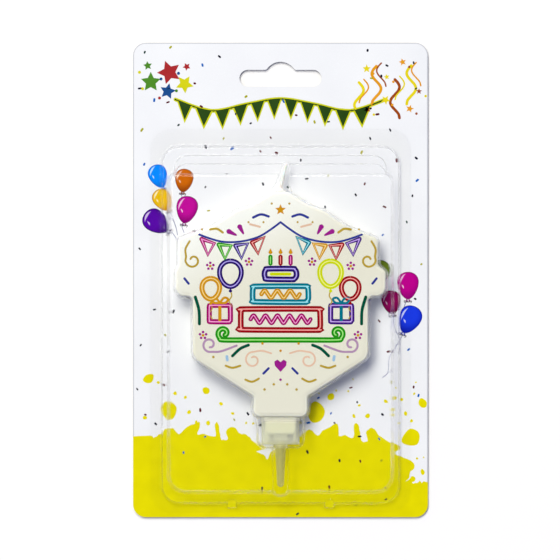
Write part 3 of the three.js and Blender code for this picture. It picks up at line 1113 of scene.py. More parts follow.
@dataclass
class SpikeHolder:
    """The milky holder: a lipped socket, stop ribs, a boss and a hollow spike in one moulding."""

    sizes: CandleSizes
    wall: float = 1.4
    lip_height: float = 1.8
    edge: float = 0.4
    floor: float = 1.6
    inner_corner: float = 0.2
    ribs: Point = (-3.8, 3.8)
    rib_half: float = 1.1
    rib_depth: float = 3.2
    rib_edges: Point = (0.3, 0.15)
    tongue_air: float = 0.3
    tip_radius: float = 1.4
    bore_radius: float = 1.2
    bore_tip_radius: float = 0.7
    tip_wall: float = 1.2
    boss_sunk: float = 0.8

    def rings(self, inset: float, radius: float, steps: list[Point]) -> Form:
        """Makes a form along the socket with a rounded rectangle for its outline.

        Args:
            inset: How far it is let in from the socket's outer side.
            radius: The radius of its corners.
            steps: Each ring's offset and its height over the socket's foot.

        Returns:
            The form.
        """
        s = self.sizes
        deep = s.holder_depth / 2 - inset
        outline = Outline.box(0, s.holder_width / 2 - inset, -deep, deep, radius)
        form = loft((outline.ring(offset), height) for offset, height in steps)
        return stood_up(form, s.holder_foot, s.middle)

    def nose(self, radius: float, tip: float) -> list[Point]:
        """Gives the profile of a round tip, from the axis outwards."""
        arc = [math.pi / 2 * step / 8 for step in range(9)]
        return [(radius * math.sin(a), tip + radius * (1 - math.cos(a))) for a in arc]

    def stem(self) -> tuple[Form, Form]:
        """Turns the boss with its spike.

        Returns:
            The solid form, and the bore that is cut from it.
        """
        s, edge, boss = self.sizes, self.edge, self.sizes.boss_radius
        root, sunk = s.holder_foot - s.boss_height, s.holder_foot + self.boss_sunk
        mouth = s.holder_foot + self.floor + 0.3
        outer = [*self.nose(self.tip_radius, s.spike_tip), (s.spike_root, root),
                 (boss - edge, root), (boss - edge * 0.3, root + edge * 0.3), (boss, root + edge),
                 (boss, sunk), (0, sunk)]
        inner = [*self.nose(self.bore_tip_radius, s.spike_tip + self.tip_wall),
                 (self.bore_radius, s.holder_foot), (self.bore_radius, mouth), (0, mouth)]
        return turned(outer, s.middle), turned(inner, s.middle)

    def build(self) -> None:
        """Moulds the holder."""
        s, edge, lip = self.sizes, self.edge, self.sizes.lip
        height = s.holder_top - s.holder_foot
        lip_foot = height - self.lip_height
        shell = self.rings(0.0, s.holder_corner, [
            (-edge, 0), (-edge * 0.3, edge * 0.3), (0, edge), (0, lip_foot),
            (lip, lip_foot + lip / 2), (lip, height - edge / 2),
            (lip - edge * 0.06, height - edge * 0.15), (lip - edge / 2, height),
        ])
        socket = self.rings(self.wall, self.inner_corner, [
            (0, self.floor), (0, height - edge), (edge, height), (2 * edge, height + edge),
        ])
        corner, rim = self.rib_edges
        rib_foot = s.holder_foot + self.floor / 2
        rib_top = s.plaque_foot - s.tongue_length - self.tongue_air
        ribs = [slab(Outline.box(middle, self.rib_half, rib_foot, rib_top, corner),
                     s.middle, self.rib_depth, rim, 2) for middle in self.ribs]
        spike, bore = self.stem()
        holder = carved("moulded_holder", shell, ("DIFFERENCE", [socket]),
                        ("UNION", [spike, *ribs]), ("DIFFERENCE", [bore]))
        stand_in(holder, "holder", Material.MILKY, "candle_holder")


# ---------------------------------------------------------------- print


class Ink(Enum):
    """The inks, each as its strong colour and the pale colour of its inline."""

    INDIGO = ("2b1568", "b3a4f4")
    VIOLET = ("431c7c", "c9a9f4")
    RED = ("960c18", "fba6a0")
    MAGENTA = ("a00a68", "fba2da")
    GOLD = ("cc9216", "f6d68a")
    TEAL = ("06758a", "97e2ee")
    LIME = ("cbd80e", "eef48c")
    GREEN = ("259318", "a6ee84")
    PINE = ("04523c", "8ed6b8")
    NAVY = ("303c94", "a9b4ea")
    PLUM = ("9a1f8a", "dca6d8")
    OCHRE = ("b89e38", "e6dca4")
    MAUVE = ("b08fb0", "d9cbd8")
    PEACH = ("e4c0a6", "f2e2d6")
    SKY = ("9cc0de", "d2e2ee")

    def __init__(self, strong: str, pale: str) -> None:
        """Keeps the two colours."""
        self.strong, self.pale = strong, pale


def ink_finish(
    name: str, colour: str, kind: type[Finish] = Finish, rim: str | None = None
) -> Finish:
    """Gives an ink its finish, a shade uneven in its colour and its gloss.

    Args:
        name: The last words of its name.
        colour: Its colour.
        kind: The class of the finish.
        rim: The darker colour, where it isn't just a shade darker.

    Returns:
        The finish.
    """
    darker = rim or bytes(max(0, level - 7) for level in bytes.fromhex(colour)).hex()
    gloss = (("Specular IOR Level", 0.08),)
    return kind(f"ink_{name}", darker, colour, (0.18, 0.28), 180, 3500, 0.0, gloss)


def flowing(points: Sequence[Point], closed: bool = False, steps: int = 6) -> list[Vector]:
    """Samples a smooth line through some points.

    Args:
        points: The points.
        closed: Whether the line comes back to the first point.
        steps: How many samples from one point to the next.

    Returns:
        The samples.
    """
    knots = [Vector((*point, 0)) for point in points]
    ends = (knots[-1:], knots[:2]) if closed else (knots[:1], knots[-1:])
    whole = [*ends[0], *knots, *ends[1]]
    line = []
    for before, start, end, after in zip(whole, whole[1:], whole[2:], whole[3:]):
        first, second = start + (end - before) / 6, end - (after - start) / 6
        line += interpolate_bezier(start, first, second, end, steps + 1)[:-1]
    return line if closed else line + [knots[-1]]


def spiral(
    centre: Point, radius: float, start: float, turns: float, shrink: float = 0.35
) -> list[Point]:
    """Gives the points of a curl that winds inwards.

    Args:
        centre: The middle of the curl.
        radius: The outer radius.
        start: The angle where it starts, in degrees.
        turns: How many turns it makes, negative for clockwise.
        shrink: The inner radius as a share of the outer one.

    Returns:
        The points, from the outside in.
    """
    count = max(6, round(abs(turns) * 10))
    shares = (step / count for step in range(count + 1))
    return [polar(centre, radius * (1 - (1 - shrink) * share),
                  math.radians(start) + math.tau * turns * share) for share in shares]


@dataclass
class InkRun:
    """Everything that is printed with one ink on one surface."""

    name: str
    finish: Finish
    surface: float
    body: str
    slot: str
    layer: int = 0
    lines: list[tuple[list[Vector], list[float]]] = field(default_factory=list)
    areas: list[tuple[list[Vector], list[Point]]] = field(default_factory=list)

    @property
    def thickness(self) -> float:
        """How far the ink stands over the surface, so that a later ink covers an earlier one."""
        return 0.012 + 0.008 * self.layer

    def line(
        self, points: Sequence[Point], width: float, closed: bool = False, swell: Point = PLAIN,
        steps: int = 6,
    ) -> None:
        """Adds a line with round ends.

        Args:
            points: The points that it runs through.
            width: Its width.
            closed: Whether it comes back to the first point.
            swell: The width at its start and at its end, as shares of width.
            steps: How many samples from one point to the next.
        """
        samples = flowing(points, closed, steps)
        half, last = width / 2, len(samples) - 1
        if closed:
            self.lines.append((samples + samples[:1], [half] * (last + 2)))
            return
        radii = [half * (swell[0] + (swell[1] - swell[0]) * n / last) for n in range(last + 1)]
        caps = [math.radians(angle) for angle in (8, 40, 70)]
        ends = []
        for tip, inner, radius in ((samples[0], samples[1], radii[0]),
                                   (samples[-1], samples[-2], radii[-1])):
            out = (tip - inner).normalized() * radius
            ends.append([(tip + out * math.cos(a), radius * math.sin(a)) for a in caps])
        whole = [*ends[0], *zip(samples, radii), *reversed(ends[1])]
        self.lines.append(([point for point, _ in whole], [radius for _, radius in whole]))

    def area(self, outline: Iterable[Point], shading: Iterable[Point] = ()) -> None:
        """Adds a filled shape, with a place in the shading for each point where it has one."""
        self.areas.append(([Vector((*point, 0)) for point in outline], list(shading)))

    def dot(self, centre: Point, radius: float, sides: int = 14) -> None:
        """Adds a round dot."""
        self.area(polar(centre, radius, angle) for angle in around(sides))

    def star(self, centre: Point, radius: float, turn: float, inner: float = 0.45) -> None:
        """Adds a star of five rays.

        Args:
            centre: Its middle.
            radius: The reach of its rays.
            turn: The angle of the first ray, in degrees.
            inner: The reach of its notches as a share of the rays'.
        """
        reaches = (radius, radius * inner) * 5
        start = math.radians(turn)
        self.area(polar(centre, reach, start + a) for reach, a in zip(reaches, around(10)))

    def press(self) -> Piece:
        """Makes the ink's mesh and lays it on its surface.

        Returns:
            The piece.
        """
        form = tubes(self.name, self.lines, 0, False) if self.lines else bmesh.new()
        half = self.thickness / 2
        for vert in form.verts:
            vert.co.z = self.surface + half + half * max(-1.0, min(1.0, vert.co.z / 0.05))
        shades = form.loops.layers.uv.new("print")
        for outline, shading in self.areas:
            face = form.faces.new(form.verts.new((*p.xy, self.surface)) for p in outline)
            for loop, spot in zip(face.loops, shading):
                loop[shades].uv = spot
            raised = bmesh.ops.extrude_face_region(form, geom=[face], use_keep_orig=True)["geom"]
            top = [item for item in raised if isinstance(item, bmesh.types.BMVert)]
            bmesh.ops.translate(form, verts=top, vec=(0, 0, self.thickness))
        bmesh.ops.recalc_face_normals(form, faces=form.faces)
        for face in form.faces:
            face.smooth = False
        return dress(as_object(self.name, form), self.body, self.finish, self.slot)


@dataclass
class Press:
    """Keeps one run for every ink on one surface, and prints them all at the end."""

    prefix: str
    surface: float
    body: str
    slot: str
    runs: dict[str, InkRun] = field(default_factory=dict)

    def run(self, name: str, finish: Finish, layer: int) -> InkRun:
        """Gives the run of that name, which is set up when it is first asked for."""
        made = InkRun(f"{self.prefix}_{name}", finish, self.surface, self.body, self.slot, layer)
        return self.runs.setdefault(name, made)

    def tinted(self, name: str, colour: str, layer: int, ink: str = "") -> InkRun:
        """Gives the run of a plain ink, which has the run's name unless it has its own."""
        return self.run(name, ink_finish(ink or name, colour), layer)

    def strong(self, ink: Ink, layer: int = 1) -> InkRun:
        """Gives the run of an ink's strong colour."""
        name = ink.name.lower()
        return self.tinted(f"{name}_{layer}" if layer > 1 else name, ink.strong, layer, name)

    def pale(self, ink: Ink) -> InkRun:
        """Gives the run of an ink's inlines, over every strong colour."""
        return self.tinted(f"{ink.name.lower()}_inline", ink.pale, 4)

    def inlined(
        self, ink: Ink, points: Sequence[Point], width: float, closed: bool = False, layer: int = 1
    ) -> None:
        """Adds a broad line with a pale line inside it."""
        self.strong(ink, layer).line(points, width, closed)
        self.pale(ink).line(points, width * 0.2, closed)

    def both(self, *rows: tuple) -> None:
        """Adds plain lines and their mirror images.

        Args:
            rows: Each line's ink, its width, its swell and its points.
        """
        for ink, width, swell, *points in rows:
            for side in (1, -1):
                line = [(side * x, y) for x, y in points]
                self.strong(ink).line(line, width, swell=swell)

    def dots(self, ink: Ink, radius: float, *places: Point) -> None:
        """Adds dots and their mirror images."""
        for spot in dict.fromkeys((side * x, y) for x, y in places for side in SIDES):
            self.strong(ink).dot(spot, radius)

    def print_all(self) -> None:
        """Prints every run."""
        for run in self.runs.values():
            run.press()


@dataclass
class PlaquePrint(Press):
    """The party design on the plaque: bunting, a cake, balloons, gifts and streamers."""

    swag: tuple[Point, ...] = ((31.5, 17.6), (23.5, 15.0), (15.5, 14.9), (7.5, 17.2), (0.0, 22.4))

    def bunting(self) -> None:
        """Hangs two swags of outlined pennants from the middle."""
        right = (Ink.VIOLET, Ink.RED, Ink.GOLD, Ink.TEAL)
        left = (Ink.MAGENTA, Ink.GREEN, Ink.INDIGO, Ink.RED)
        for side, inks in ((1, right), (-1, left)):
            line = flowing([(side * x, y) for x, y in self.swag], steps=10)
            self.strong(Ink.NAVY, 3).line(flat(line[::5]), 0.8)
            for place, ink in enumerate(inks):
                start, end = line[1 + place * 8], line[8 + place * 8]
                tip = (start + end) / 2 + Vector((0, -6.2, 0))
                flag = [(p.x, p.y - 1.1) for p in (start, tip, end)]
                u, v = (sum(values) / 3 for values in zip(*flag))
                flag = [(u + (x - u) * 0.86, v + (y - v) * 0.86) for x, y in flag]
                for run, width in ((self.strong(ink), 1.7), (self.pale(ink), 0.42)):
                    run.line([*flag, flag[0]], width, steps=1)

    def cake(self) -> None:
        """Draws a cake of three tiers with three candles, on a plate with curled ends."""
        tiers = ((Ink.RED, 15.4, -19.4, -11.2), (Ink.TEAL, 10.8, -8.6, -2.4),
                 (Ink.INDIGO, 6.2, 0.2, 4.4))
        for ink, half, foot, top in tiers:
            side = Outline.box(0, half, foot, top, 1.8).ring()
            self.inlined(ink, flat(side[::4]), 2.3, True)
        for ink, half, height, waves in ((Ink.MAGENTA, 11.6, -15.2, 5), (Ink.GOLD, 7.4, -5.5, 3)):
            count = waves * 4
            wave = [(-half + 2 * half * n / count, height + 1.5 * math.sin(math.pi * n / 2))
                    for n in range(count + 1)]
            self.inlined(ink, wave, 1.7)
        self.strong(Ink.LIME).line([(-3.6, 2.3), (3.6, 2.3)], 1.2)
        ends = spiral((22.0, -20.6), 2.6, -90, 0.9)
        others = [(-x, y) for x, y in reversed(ends)]
        self.inlined(Ink.GREEN, [*others, (-9.0, -23.2), (9.0, -23.2), *ends], 2.2)
        for x, ink in ((-3.9, Ink.GREEN), (0.0, Ink.RED), (3.9, Ink.MAGENTA)):
            self.inlined(ink, [(x, 6.4), (x, 9.0)], 1.7, layer=2)
            self.strong(Ink.GOLD, 2).line([(x, 10.8), (x, 12.0)], 1.6, swell=(1, 0.2))

    def balloons(self) -> None:
        """Draws a pair of balloons on each side."""
        for x, y, size, ink in ((-19.4, 2.4, 4.2, Ink.INDIGO), (-27.0, -3.4, 3.4, Ink.GOLD),
                                (19.4, 2.4, 4.2, Ink.LIME), (27.0, -3.4, 3.4, Ink.RED)):
            bag = [(x + size * math.sin(a) * (1 + 0.12 * math.cos(a)),
                    y + 1.18 * size * math.cos(a)) for a in around(12)]
            self.inlined(ink, bag, 2.0, True)
            knot, lean = y - 1.18 * size - 1.6, -0.5 if x > 0 else 0.5
            self.strong(ink, 2).line([(x, knot + 0.6), (x, knot)], 1.4, swell=(0.3, 1))
            string = [(x, knot), (x + lean, knot - 2), (x - lean, knot - 4), (x + lean, knot - 6)]
            self.strong(Ink.OCHRE).line(string, 0.5)

    def gifts(self) -> None:
        """Draws a wrapped gift on each side of the cake."""
        for x, ink, ribbon in ((-23.5, Ink.MAGENTA, Ink.GOLD), (23.5, Ink.VIOLET, Ink.TEAL)):
            box = Outline.box(x, 4.1, -16.2, -9.8, 0.9).ring()
            self.inlined(ink, flat(box[::4]), 2.1, True)
            self.strong(ribbon, 2).line([(x, -15.6), (x, -10.4)], 1.3)
            for side in SIDES:
                bow = ((0.0, -8.9), (1.6, -6.9), (3.2, -7.4), (2.2, -8.8), (0.0, -8.9))
                self.strong(ribbon, 2).line([(x + side * u, v) for u, v in bow], 0.9)

    def roof(self) -> None:
        """Fills the roof over the bunting."""
        self.strong(Ink.GOLD).star((0, 27.2), 2.2, 90)
        self.both(
            (Ink.NAVY, 0.95, PLAIN, (4.6, 24.6), (7.6, 25.4), (10.6, 24.2)),
            (Ink.PEACH, 0.8, PLAIN, (8.0, 20.6), (11.8, 21.6)),
            (Ink.PLUM, 1.4, (0.5, 1.4), (14.4, 18.0), (15.8, 20.6)),
            (Ink.PLUM, 1.4, (0.5, 1.4), (17.2, 17.4), (20.0, 18.8)),
            (Ink.OCHRE, 0.9, PLAIN, (22.4, 18.4), (24.6, 19.8), (27.2, 19.6)),
        )
        self.dots(Ink.OCHRE, 0.42, (3.4, 29.6), (6.6, 22.4), (12.4, 22.4), (30.4, 19.6))

    def flanks(self) -> None:
        """Winds curls and flowers beside the balloons."""
        self.both(
            (Ink.OCHRE, 0.8, PLAIN, (35.2, 15.0), (36.8, 12.0),
             *spiral((33.9, 7.6), 3.1, 30, -1.0)),
            (Ink.PINE, 1.2, PLAIN, (33.0, -6.6), (31.6, -11.6), (31.4, -17.0)),
            (Ink.NAVY, 0.9, PLAIN, (35.6, -1.4), (37.2, 0.6)),
        )
        for centre in ((27.2, 5.4), (30.0, -21.4), (12.2, 7.0)):
            self.dots(Ink.GOLD, 0.55, centre)
            petals = (polar(centre, 1.25, math.radians(90 + 72 * petal)) for petal in range(5))
            self.dots(Ink.PLUM, 0.52, *petals)

    def base(self) -> None:
        """Fills the foot of the plaque with curls, arcs, dots and a heart."""
        self.both(
            (Ink.MAUVE, 0.85, PLAIN, (17.0, -25.4), (23.0, -27.6),
             *spiral((27.4, -25.0), 3.0, -110, 1.05)),
            (Ink.PEACH, 0.7, PLAIN, (3.6, -28.4), (7.2, -27.4),
             *spiral((10.6, -31.0), 3.3, 100, -1.1)),
            (Ink.PINE, 1.15, PLAIN, (12.4, -25.2), (15.6, -26.6), (18.6, -29.4)),
            (Ink.OCHRE, 0.85, PLAIN, (15.6, -33.2), (18.6, -34.0), (21.2, -33.2)),
            (Ink.OCHRE, 0.85, PLAIN, (8.4, -38.2), (11.0, -39.4), (13.6, -38.6)),
            (Ink.SKY, 1.1, PLAIN, (20.6, -31.0), (20.8, -29.6)),
            (Ink.NAVY, 0.9, PLAIN, (4.6, -34.2), (6.6, -36.2)),
        )
        self.strong(Ink.PLUM).area(((0.0, -35.6), (2.2, -33.2), (2.4, -31.6), (1.2, -30.8),
                                    (0.0, -31.8), (-1.2, -30.8), (-2.4, -31.6), (-2.2, -33.2)))
        self.dots(Ink.GOLD, 0.5, (0.0, -27.4), (7.0, -24.6))
        self.dots(Ink.PLUM, 0.5, (0.0, -38.6))
        self.dots(Ink.OCHRE, 0.5, (2.6, -40.4), (6.2, -42.4), (26.0, -29.8))

    def build(self) -> None:
        """Prints the whole design on the film."""
        for part in (self.bunting, self.cake, self.balloons, self.gifts, self.roof, self.flanks,
                     self.base, self.print_all):
            part()


class BalloonInk(Enum):
    """The printed balloons' inks, each as the colour of the rim and the lit colour."""

    AZURE = ("0468d0", "0088ff")
    ORANGE = ("8a3c02", "c86400")
    GOLD = ("b88200", "e6b800")
    MAGENTA = ("7c0068", "b80892")
    PURPLE = ("2c0060", "5404a0")
    CERISE = ("8c0070", "b80088")
    MAROON = ("5c0034", "98045c")
    BLUE = ("0818a0", "1838dc")
    OLIVE = ("3c5410", "748c24")

    @property
    def glint(self) -> str:
        """The lit colour, mixed with white."""
        return bytes(round(v + (255 - v) * 0.72) for v in bytes.fromhex(self.value[1])).hex()


@dataclass(frozen=True)
class Balloon:
    """One printed balloon: its middle, half its width, its lean in degrees and its string."""

    ink: BalloonInk
    x: float
    y: float
    size: float
    lean: float
    string: tuple[Point, ...]

    def at(self, across: float, up: float) -> Point:
        """Gives a place on the card from a place on the balloon.

        Args:
            across: How far across, in half widths.
            up: How far up, in half widths.

        Returns:
            The place.
        """
        tilt = Matrix.Rotation(math.radians(self.lean), 2)
        spot = tilt @ Vector((across * self.size, up * self.size))
        return (self.x + spot.x, self.y + spot.y)


@dataclass
class CardPrint(Press):
    """The card's print: confetti, a splash of yellow, balloons, bunting and streamers."""

    half_width: float = 57.5
    half_height: float = 92.5
    corner: float = 5.0
    seed: int = 7
    yellow: str = "e2d800"
    drops: tuple[Triple, ...] = (
        (-43.4, -51.0, 4.0), (-51.4, -38.4, 2.2), (51.0, -61.4, 4.1), (55.4, -48.0, 2.0),
        (13.6, -51.4, 4.0), (-29.0, -43.2, 1.5), (19.6, -45.6, 1.5), (55.4, -74.8, 1.2),
        (53.2, -69.6, 0.5), (55.8, -69.2, 0.35),
    )
    drop_count: int = 50
    splash_top: float = -64.0
    splash_edge: tuple[Point, ...] = (
        (-57.5, -61.0), (-50.5, -60.7), (-49.5, -61.6), (-47.7, -60.4), (-46.1, -59.6),
        (-45.0, -58.2), (-42.9, -57.8), (-41.2, -58.4), (-39.5, -60.1), (-36.6, -57.3),
        (-34.0, -56.2), (-31.4, -55.4), (-31.8, -58.2), (-32.3, -60.2), (-29.8, -60.1),
        (-25.9, -61.2), (-25.2, -59.7), (-25.6, -56.3), (-24.4, -55.7), (-23.5, -60.6),
        (-23.0, -62.2), (-20.5, -62.3), (-21.2, -59.2), (-19.7, -57.3), (-17.5, -57.6),
        (-16.3, -59.7), (-14.2, -60.1), (-12.0, -61.4), (-10.7, -63.1), (-8.0, -64.4),
        (-5.7, -65.6), (-9.3, -67.0), (-6.5, -68.2), (-5.1, -70.0), (-3.9, -67.3),
        (-0.2, -64.8), (5.7, -63.1), (7.8, -60.7), (11.2, -58.4), (14.6, -60.6),
        (16.3, -58.9), (19.2, -57.2), (22.4, -56.1), (22.8, -60.6), (25.2, -60.6),
        (28.5, -61.4), (28.6, -56.5), (30.2, -56.3), (31.1, -59.7), (31.5, -62.7),
        (34.0, -62.9), (33.3, -59.7), (34.9, -57.8), (36.6, -58.0), (38.3, -60.4),
        (41.7, -62.9), (44.6, -63.8), (46.8, -65.6), (44.6, -67.7), (48.2, -69.2),
        (51.9, -71.4), (52.0, -73.7), (50.6, -74.8), (50.2, -76.8), (48.8, -78.5),
        (50.1, -77.9), (51.2, -76.4), (52.3, -76.9), (52.5, -78.1), (51.3, -79.2),
        (53.4, -79.0), (54.3, -78.1), (55.0, -79.1), (56.2, -78.4), (57.5, -79.0),
    )
    confetti_inks: tuple[tuple[str, str, int], ...] = (
        ("night", "16172c", 8), ("wine", "5c0c22", 4), ("forest", "0f3a34", 2),
        ("sea", "0f62b8", 3), ("moss", "a8a81c", 3),
    )
    confetti_step: float = 9.6
    hung: tuple[Balloon, ...] = (
        Balloon(BalloonInk.PURPLE, -48.9, 23.0, 4.2, 52, ((-42.2, 18.4), (-39.6, 14.6))),
        Balloon(BalloonInk.GOLD, -46.2, 31.6, 3.4, 30,
                ((-42.6, 25.4), (-40.8, 20.6), (-40.2, 17.6))),
        Balloon(BalloonInk.AZURE, -47.8, 40.9, 3.5, 22, ((-44.4, 33.6), (-43.6, 31.4))),
        Balloon(BalloonInk.ORANGE, -37.6, 39.3, 3.4, -6, ((-38.6, 33.0), (-37.9, 31.4))),
        Balloon(BalloonInk.MAGENTA, -36.5, 28.0, 4.0, -10,
                ((-38.4, 20.6), (-37.6, 18.0), (-38.8, 15.2))),
        Balloon(BalloonInk.OLIVE, 38.6, 3.2, 3.9, -14,
                ((38.6, -4.2), (41.6, -9.6), (42.4, -14.8))),
        Balloon(BalloonInk.CERISE, 49.7, -1.6, 4.0, 0, ((49.0, -8.4), (48.0, -11.0))),
        Balloon(BalloonInk.BLUE, 50.5, -14.9, 4.2, -24,
                ((46.2, -24.0), (42.6, -30.0), (42.0, -35.8), (39.8, -38.0))),
        Balloon(BalloonInk.MAROON, 43.1, -8.2, 3.5, 8,
                ((44.4, -18.4), (46.4, -23.2), (46.2, -28.8))),
    )

    def bare(self, x: float, y: float) -> bool:
        """Says whether confetti stays away: round the hole, at the rim, on drops and balloons.

        Args:
            x: The place along X.
            y: The place along Y.

        Returns:
            Whether it stays away.
        """
        rounds = [*self.drops, *((hung.x, hung.y, 1.2 * hung.size) for hung in self.hung)]
        edge = (abs(x) < 19 and y > 72) or abs(x) > 56.4 or abs(y) > 91.4
        return edge or any(math.hypot(x - u, y - v) < size + 0.6 for u, v, size in rounds)

    def confetti(self) -> None:
        """Scatters short specks over the card, evenly but never in rows."""
        dice = random.Random(self.seed)
        names = [entry for entry in self.confetti_inks for _ in range(entry[2])]
        width, height = 2 * self.half_width, 2 * self.half_height
        columns, rows = int(width / self.confetti_step), int(height / self.confetti_step)
        for row in range(rows):
            for column in range(columns):
                x = -self.half_width + (column + dice.uniform(0.08, 0.92)) * width / columns
                y = -self.half_height + (row + dice.uniform(0.08, 0.92)) * height / rows
                turn, size = dice.uniform(0, math.pi), dice.uniform(0.3, 0.9)
                name, colour, _ = dice.choice(names)
                left_out = 0.75 if y < self.splash_top else 0.12
                if self.bare(x, y) or dice.random() < left_out:
                    continue
                ends = [polar((x, y), reach, turn) for reach in (-size / 2, size / 2)]
                run = self.tinted(f"confetti_{name}", colour, 3)
                run.line(ends, dice.uniform(0.55, 0.85), steps=1)

    def splash(self) -> None:
        """Floods the card's foot with yellow, with a splashed edge and stray drops over it."""
        run = self.tinted("splash", self.yellow, 0, "splash_yellow")
        dice = random.Random(self.seed + 4)
        first, *torn, last = flat(flowing(self.splash_edge, steps=3))
        line = [(x + dice.uniform(-0.12, 0.12), y + dice.uniform(-0.2, 0.2)) for x, y in torn]
        card = Outline.box(0, self.half_width, -self.half_height, 0, self.corner).ring()
        foot = sorted((p for p in flat(card) if p[1] < -80), key=lambda p: -p[0])
        run.area([first, *line, last, *foot])
        drops = self.tinted("splash_drops", self.yellow, 1, "splash_yellow")
        spots = list(self.drops)
        while len(spots) < self.drop_count:
            x, y = dice.uniform(-54, 54), -56.0 + 18 * dice.uniform(0, 1) ** 2
            size = dice.uniform(0.35, 1.1)
            if all(math.hypot(x - u, y - v) > 1.3 * (size + other) for u, v, other in spots):
                spots.append((x, y, size))
        for drop in spots:
            self.blob(drops, dice, *drop)

    def blob(self, run: InkRun, dice: random.Random, x: float, y: float, size: float) -> None:
        """Adds one uneven drop.

        Args:
            run: The run that it is printed in.
            dice: The source of its shape.
            x: Its place along X.
            y: Its place along Y.
            size: Its radius.
        """
        turn, stretch = dice.uniform(0, math.tau), dice.uniform(0.65, 1.0)
        outline = []
        for angle in around(7):
            reach = size * dice.uniform(0.8, 1.12)
            spot = Vector((reach * math.cos(angle), stretch * reach * math.sin(angle)))
            spot.rotate(Matrix.Rotation(turn, 2))
            outline.append((x + spot.x, y + spot.y))
        run.area(flat(flowing(outline, True, 3)))

    def balloon(self, balloon: Balloon) -> None:
        """Prints one balloon with its knot, its glints and its string.

        Args:
            balloon: The balloon.
        """
        name, (rim, lit), at = balloon.ink.name.lower(), balloon.ink.value, balloon.at
        name = f"balloon_{name}"
        run = self.run(name, ink_finish(name, lit, BalloonFinish, rim), 2)
        dark = self.tinted(f"{name}_rim", rim, 1)
        bag = [(math.sin(a) * (1 + 0.22 * math.cos(a)),
                1.16 * math.cos(a) - 0.07 * (1 - math.cos(a)) ** 2) for a in around(40)]
        foot = bag[20][1]
        bag.reverse()
        dark.area(at(1.03 * u, 1.03 * v) for u, v in bag)
        shading = [(0.5 + 0.42 * u, 0.5 + 0.38 * v) for u, v in bag]
        run.area((at(0.95 * u, 0.96 * v) for u, v in bag), shading)
        for side in SIDES:
            knot = ((0, 0.05), (side * 0.2, -0.16), (side * 0.08, -0.2))
            dark.line([at(u, foot + v) for u, v in knot], 0.36, steps=3)
        string = self.tinted("strings", "8284a8", 1, "string_grey")
        string.line([at(0, foot - 0.1), *balloon.string], 0.3)
        curl = ((0, 0), (-0.3, -0.12), (-0.36, 0.06), (0, -0.08), (0.34, 0.04), (0.28, -0.16))
        curls = self.tinted("curls", "4c4a52", 2, "curl_grey")
        curls.line([at(u, foot - 0.24 + v) for u, v in curl], 0.28)
        glint = self.tinted(f"{name}_glint", balloon.ink.glint, 4)
        for first, last, width, reach in ((106, 192, 0.2, 1.0), (188, 228, 0.22, 0.74)):
            arc = [math.radians(first - balloon.lean + (last - first) * n / 8) for n in range(9)]
            outer = [(0.84 * reach * math.cos(a), 0.08 + 0.96 * reach * math.sin(a)) for a in arc]
            thin = [1 - width * math.sin(math.pi * n / 8) for n in range(9)]
            inner = [(u * share, v * share) for (u, v), share in zip(outer, thin)]
            glint.area(at(u, v) for u, v in [*outer, *inner[-2:0:-1]])

    def balloons(self) -> None:
        """Prints five balloons on the left and four smaller ones on the right."""
        for balloon in self.hung:
            self.balloon(balloon)

    def bunting(self) -> None:
        """Hangs a garland of dark green pennants with yellow borders over the blister."""
        knots = ((-41.0, 70.4), (-27.0, 66.0), (-13.0, 68.6), (0.0, 70.6), (13.0, 68.6),
                 (27.0, 66.0), (41.0, 70.4))
        cord = flowing(knots, steps=8)
        border = self.tinted("garland_border", "cdd01c", 1, "garland_yellow")
        green = self.tinted("garland", "2c4a1a", 2, "garland_green")
        for run, width in ((border, 1.5), (green, 0.7)):
            run.line(flat(cord[::2]), width)
        for place in range(1, 45, 4):
            start, end = cord[place], cord[place + 3]
            tip = (start + end) / 2 + Vector((0, -6.6, 0))
            middle = (start + end + tip) / 3
            flag = flat((start, tip, end))
            border.area((middle.x + (x - middle.x) * 1.36, middle.y + (y - middle.y) * 1.3)
                        for x, y in flag)
            green.area(flag)

    def shades(self, kind: str, *inks: tuple[str, str]) -> list[InkRun]:
        """Gives the runs of one kind of ornament, from the names and colours of its inks."""
        return [self.tinted(f"{kind}_{name}", colour, 2) for name, colour in inks]

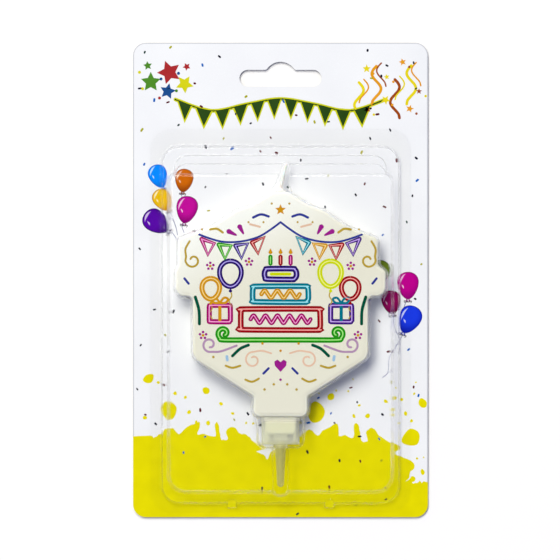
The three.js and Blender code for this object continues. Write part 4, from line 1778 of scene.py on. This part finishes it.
    def streamers(self) -> None:
        """Winds streamers and stars in the upper right corner, from yellow to brown."""
        runs = self.shades("streamer", ("yellow", "e2d21c"), ("amber", "e09a1e"),
                           ("brown", "9c4a18"))
        starts = ((30.6, 77.0, 1), (37.4, 83.4, -1), (44.6, 78.2, 1), (51.0, 83.6, -1))
        for place, (x, y, turn) in enumerate(starts):
            wave = [(x + 1.8 * turn * math.sin(0.8 * n), y - 1.5 * n) for n in range(11)]
            runs[place % 3].line(wave, 1.1)
            runs[(place + 1) % 3].line([(u + 1.9, v + 1.2) for u, v in wave[:7]], 0.6)
        stars = ((33.6, 82.4, 1.7), (47.6, 85.0, 1.5), (33.8, 66.4, 1.5), (41.0, 70.2, 1.9),
                 (50.4, 66.8, 1.6), (54.0, 73.6, 1.2), (41.4, 79.2, 1.2))
        for place, (x, y, size) in enumerate(stars):
            runs[place % 3].star((x, y), size, 90 + 14 * place)
            runs[(place + 1) % 3].dot((x + 2.6, y - 1.9), 0.5)

    def rosette(self) -> None:
        """Prints a burst of plain stars and dots in the upper left corner."""
        runs = self.shades("rosette", ("leaf", "4f8a2a"), ("rose", "a82c30"), ("lemon", "d2d018"),
                           ("lake", "1f4f8c"))
        stars = ((-50.6, 77.2, 4.0), (-43.4, 81.0, 4.8), (-37.4, 76.4, 3.6), (-44.0, 73.6, 3.2),
                 (-51.8, 83.6, 1.8), (-36.6, 83.2, 1.6))
        for place, (x, y, size) in enumerate(stars):
            runs[place % 4].star((x, y), size, 90 + 20 * place, 0.5)
            runs[(place + 2) % 4].dot((x - 3.2, y - 2.6), 0.6)

    def build(self) -> None:
        """Gives the board its finish and prints the whole card."""
        recoat("backing_card", Material.BOARD)
        for part in (self.splash, self.bunting, self.streamers, self.rosette, self.balloons,
                     self.confetti, self.print_all):
            part()


def main() -> None:
    logging.basicConfig(level=logging.INFO, format="%(message)s")
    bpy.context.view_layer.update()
    sizes = CandleSizes()
    for assembly in (
        Studio(), CardPrint("card", sizes.card_front, "pack", "card_board"), FormedBlister(sizes),
        PlaqueCandle(sizes), SpikeHolder(sizes),
        PlaquePrint("plaque", sizes.film_front, "candle", "film"),
    ):
        assembly.build()


if __name__ == "__main__":
    main()
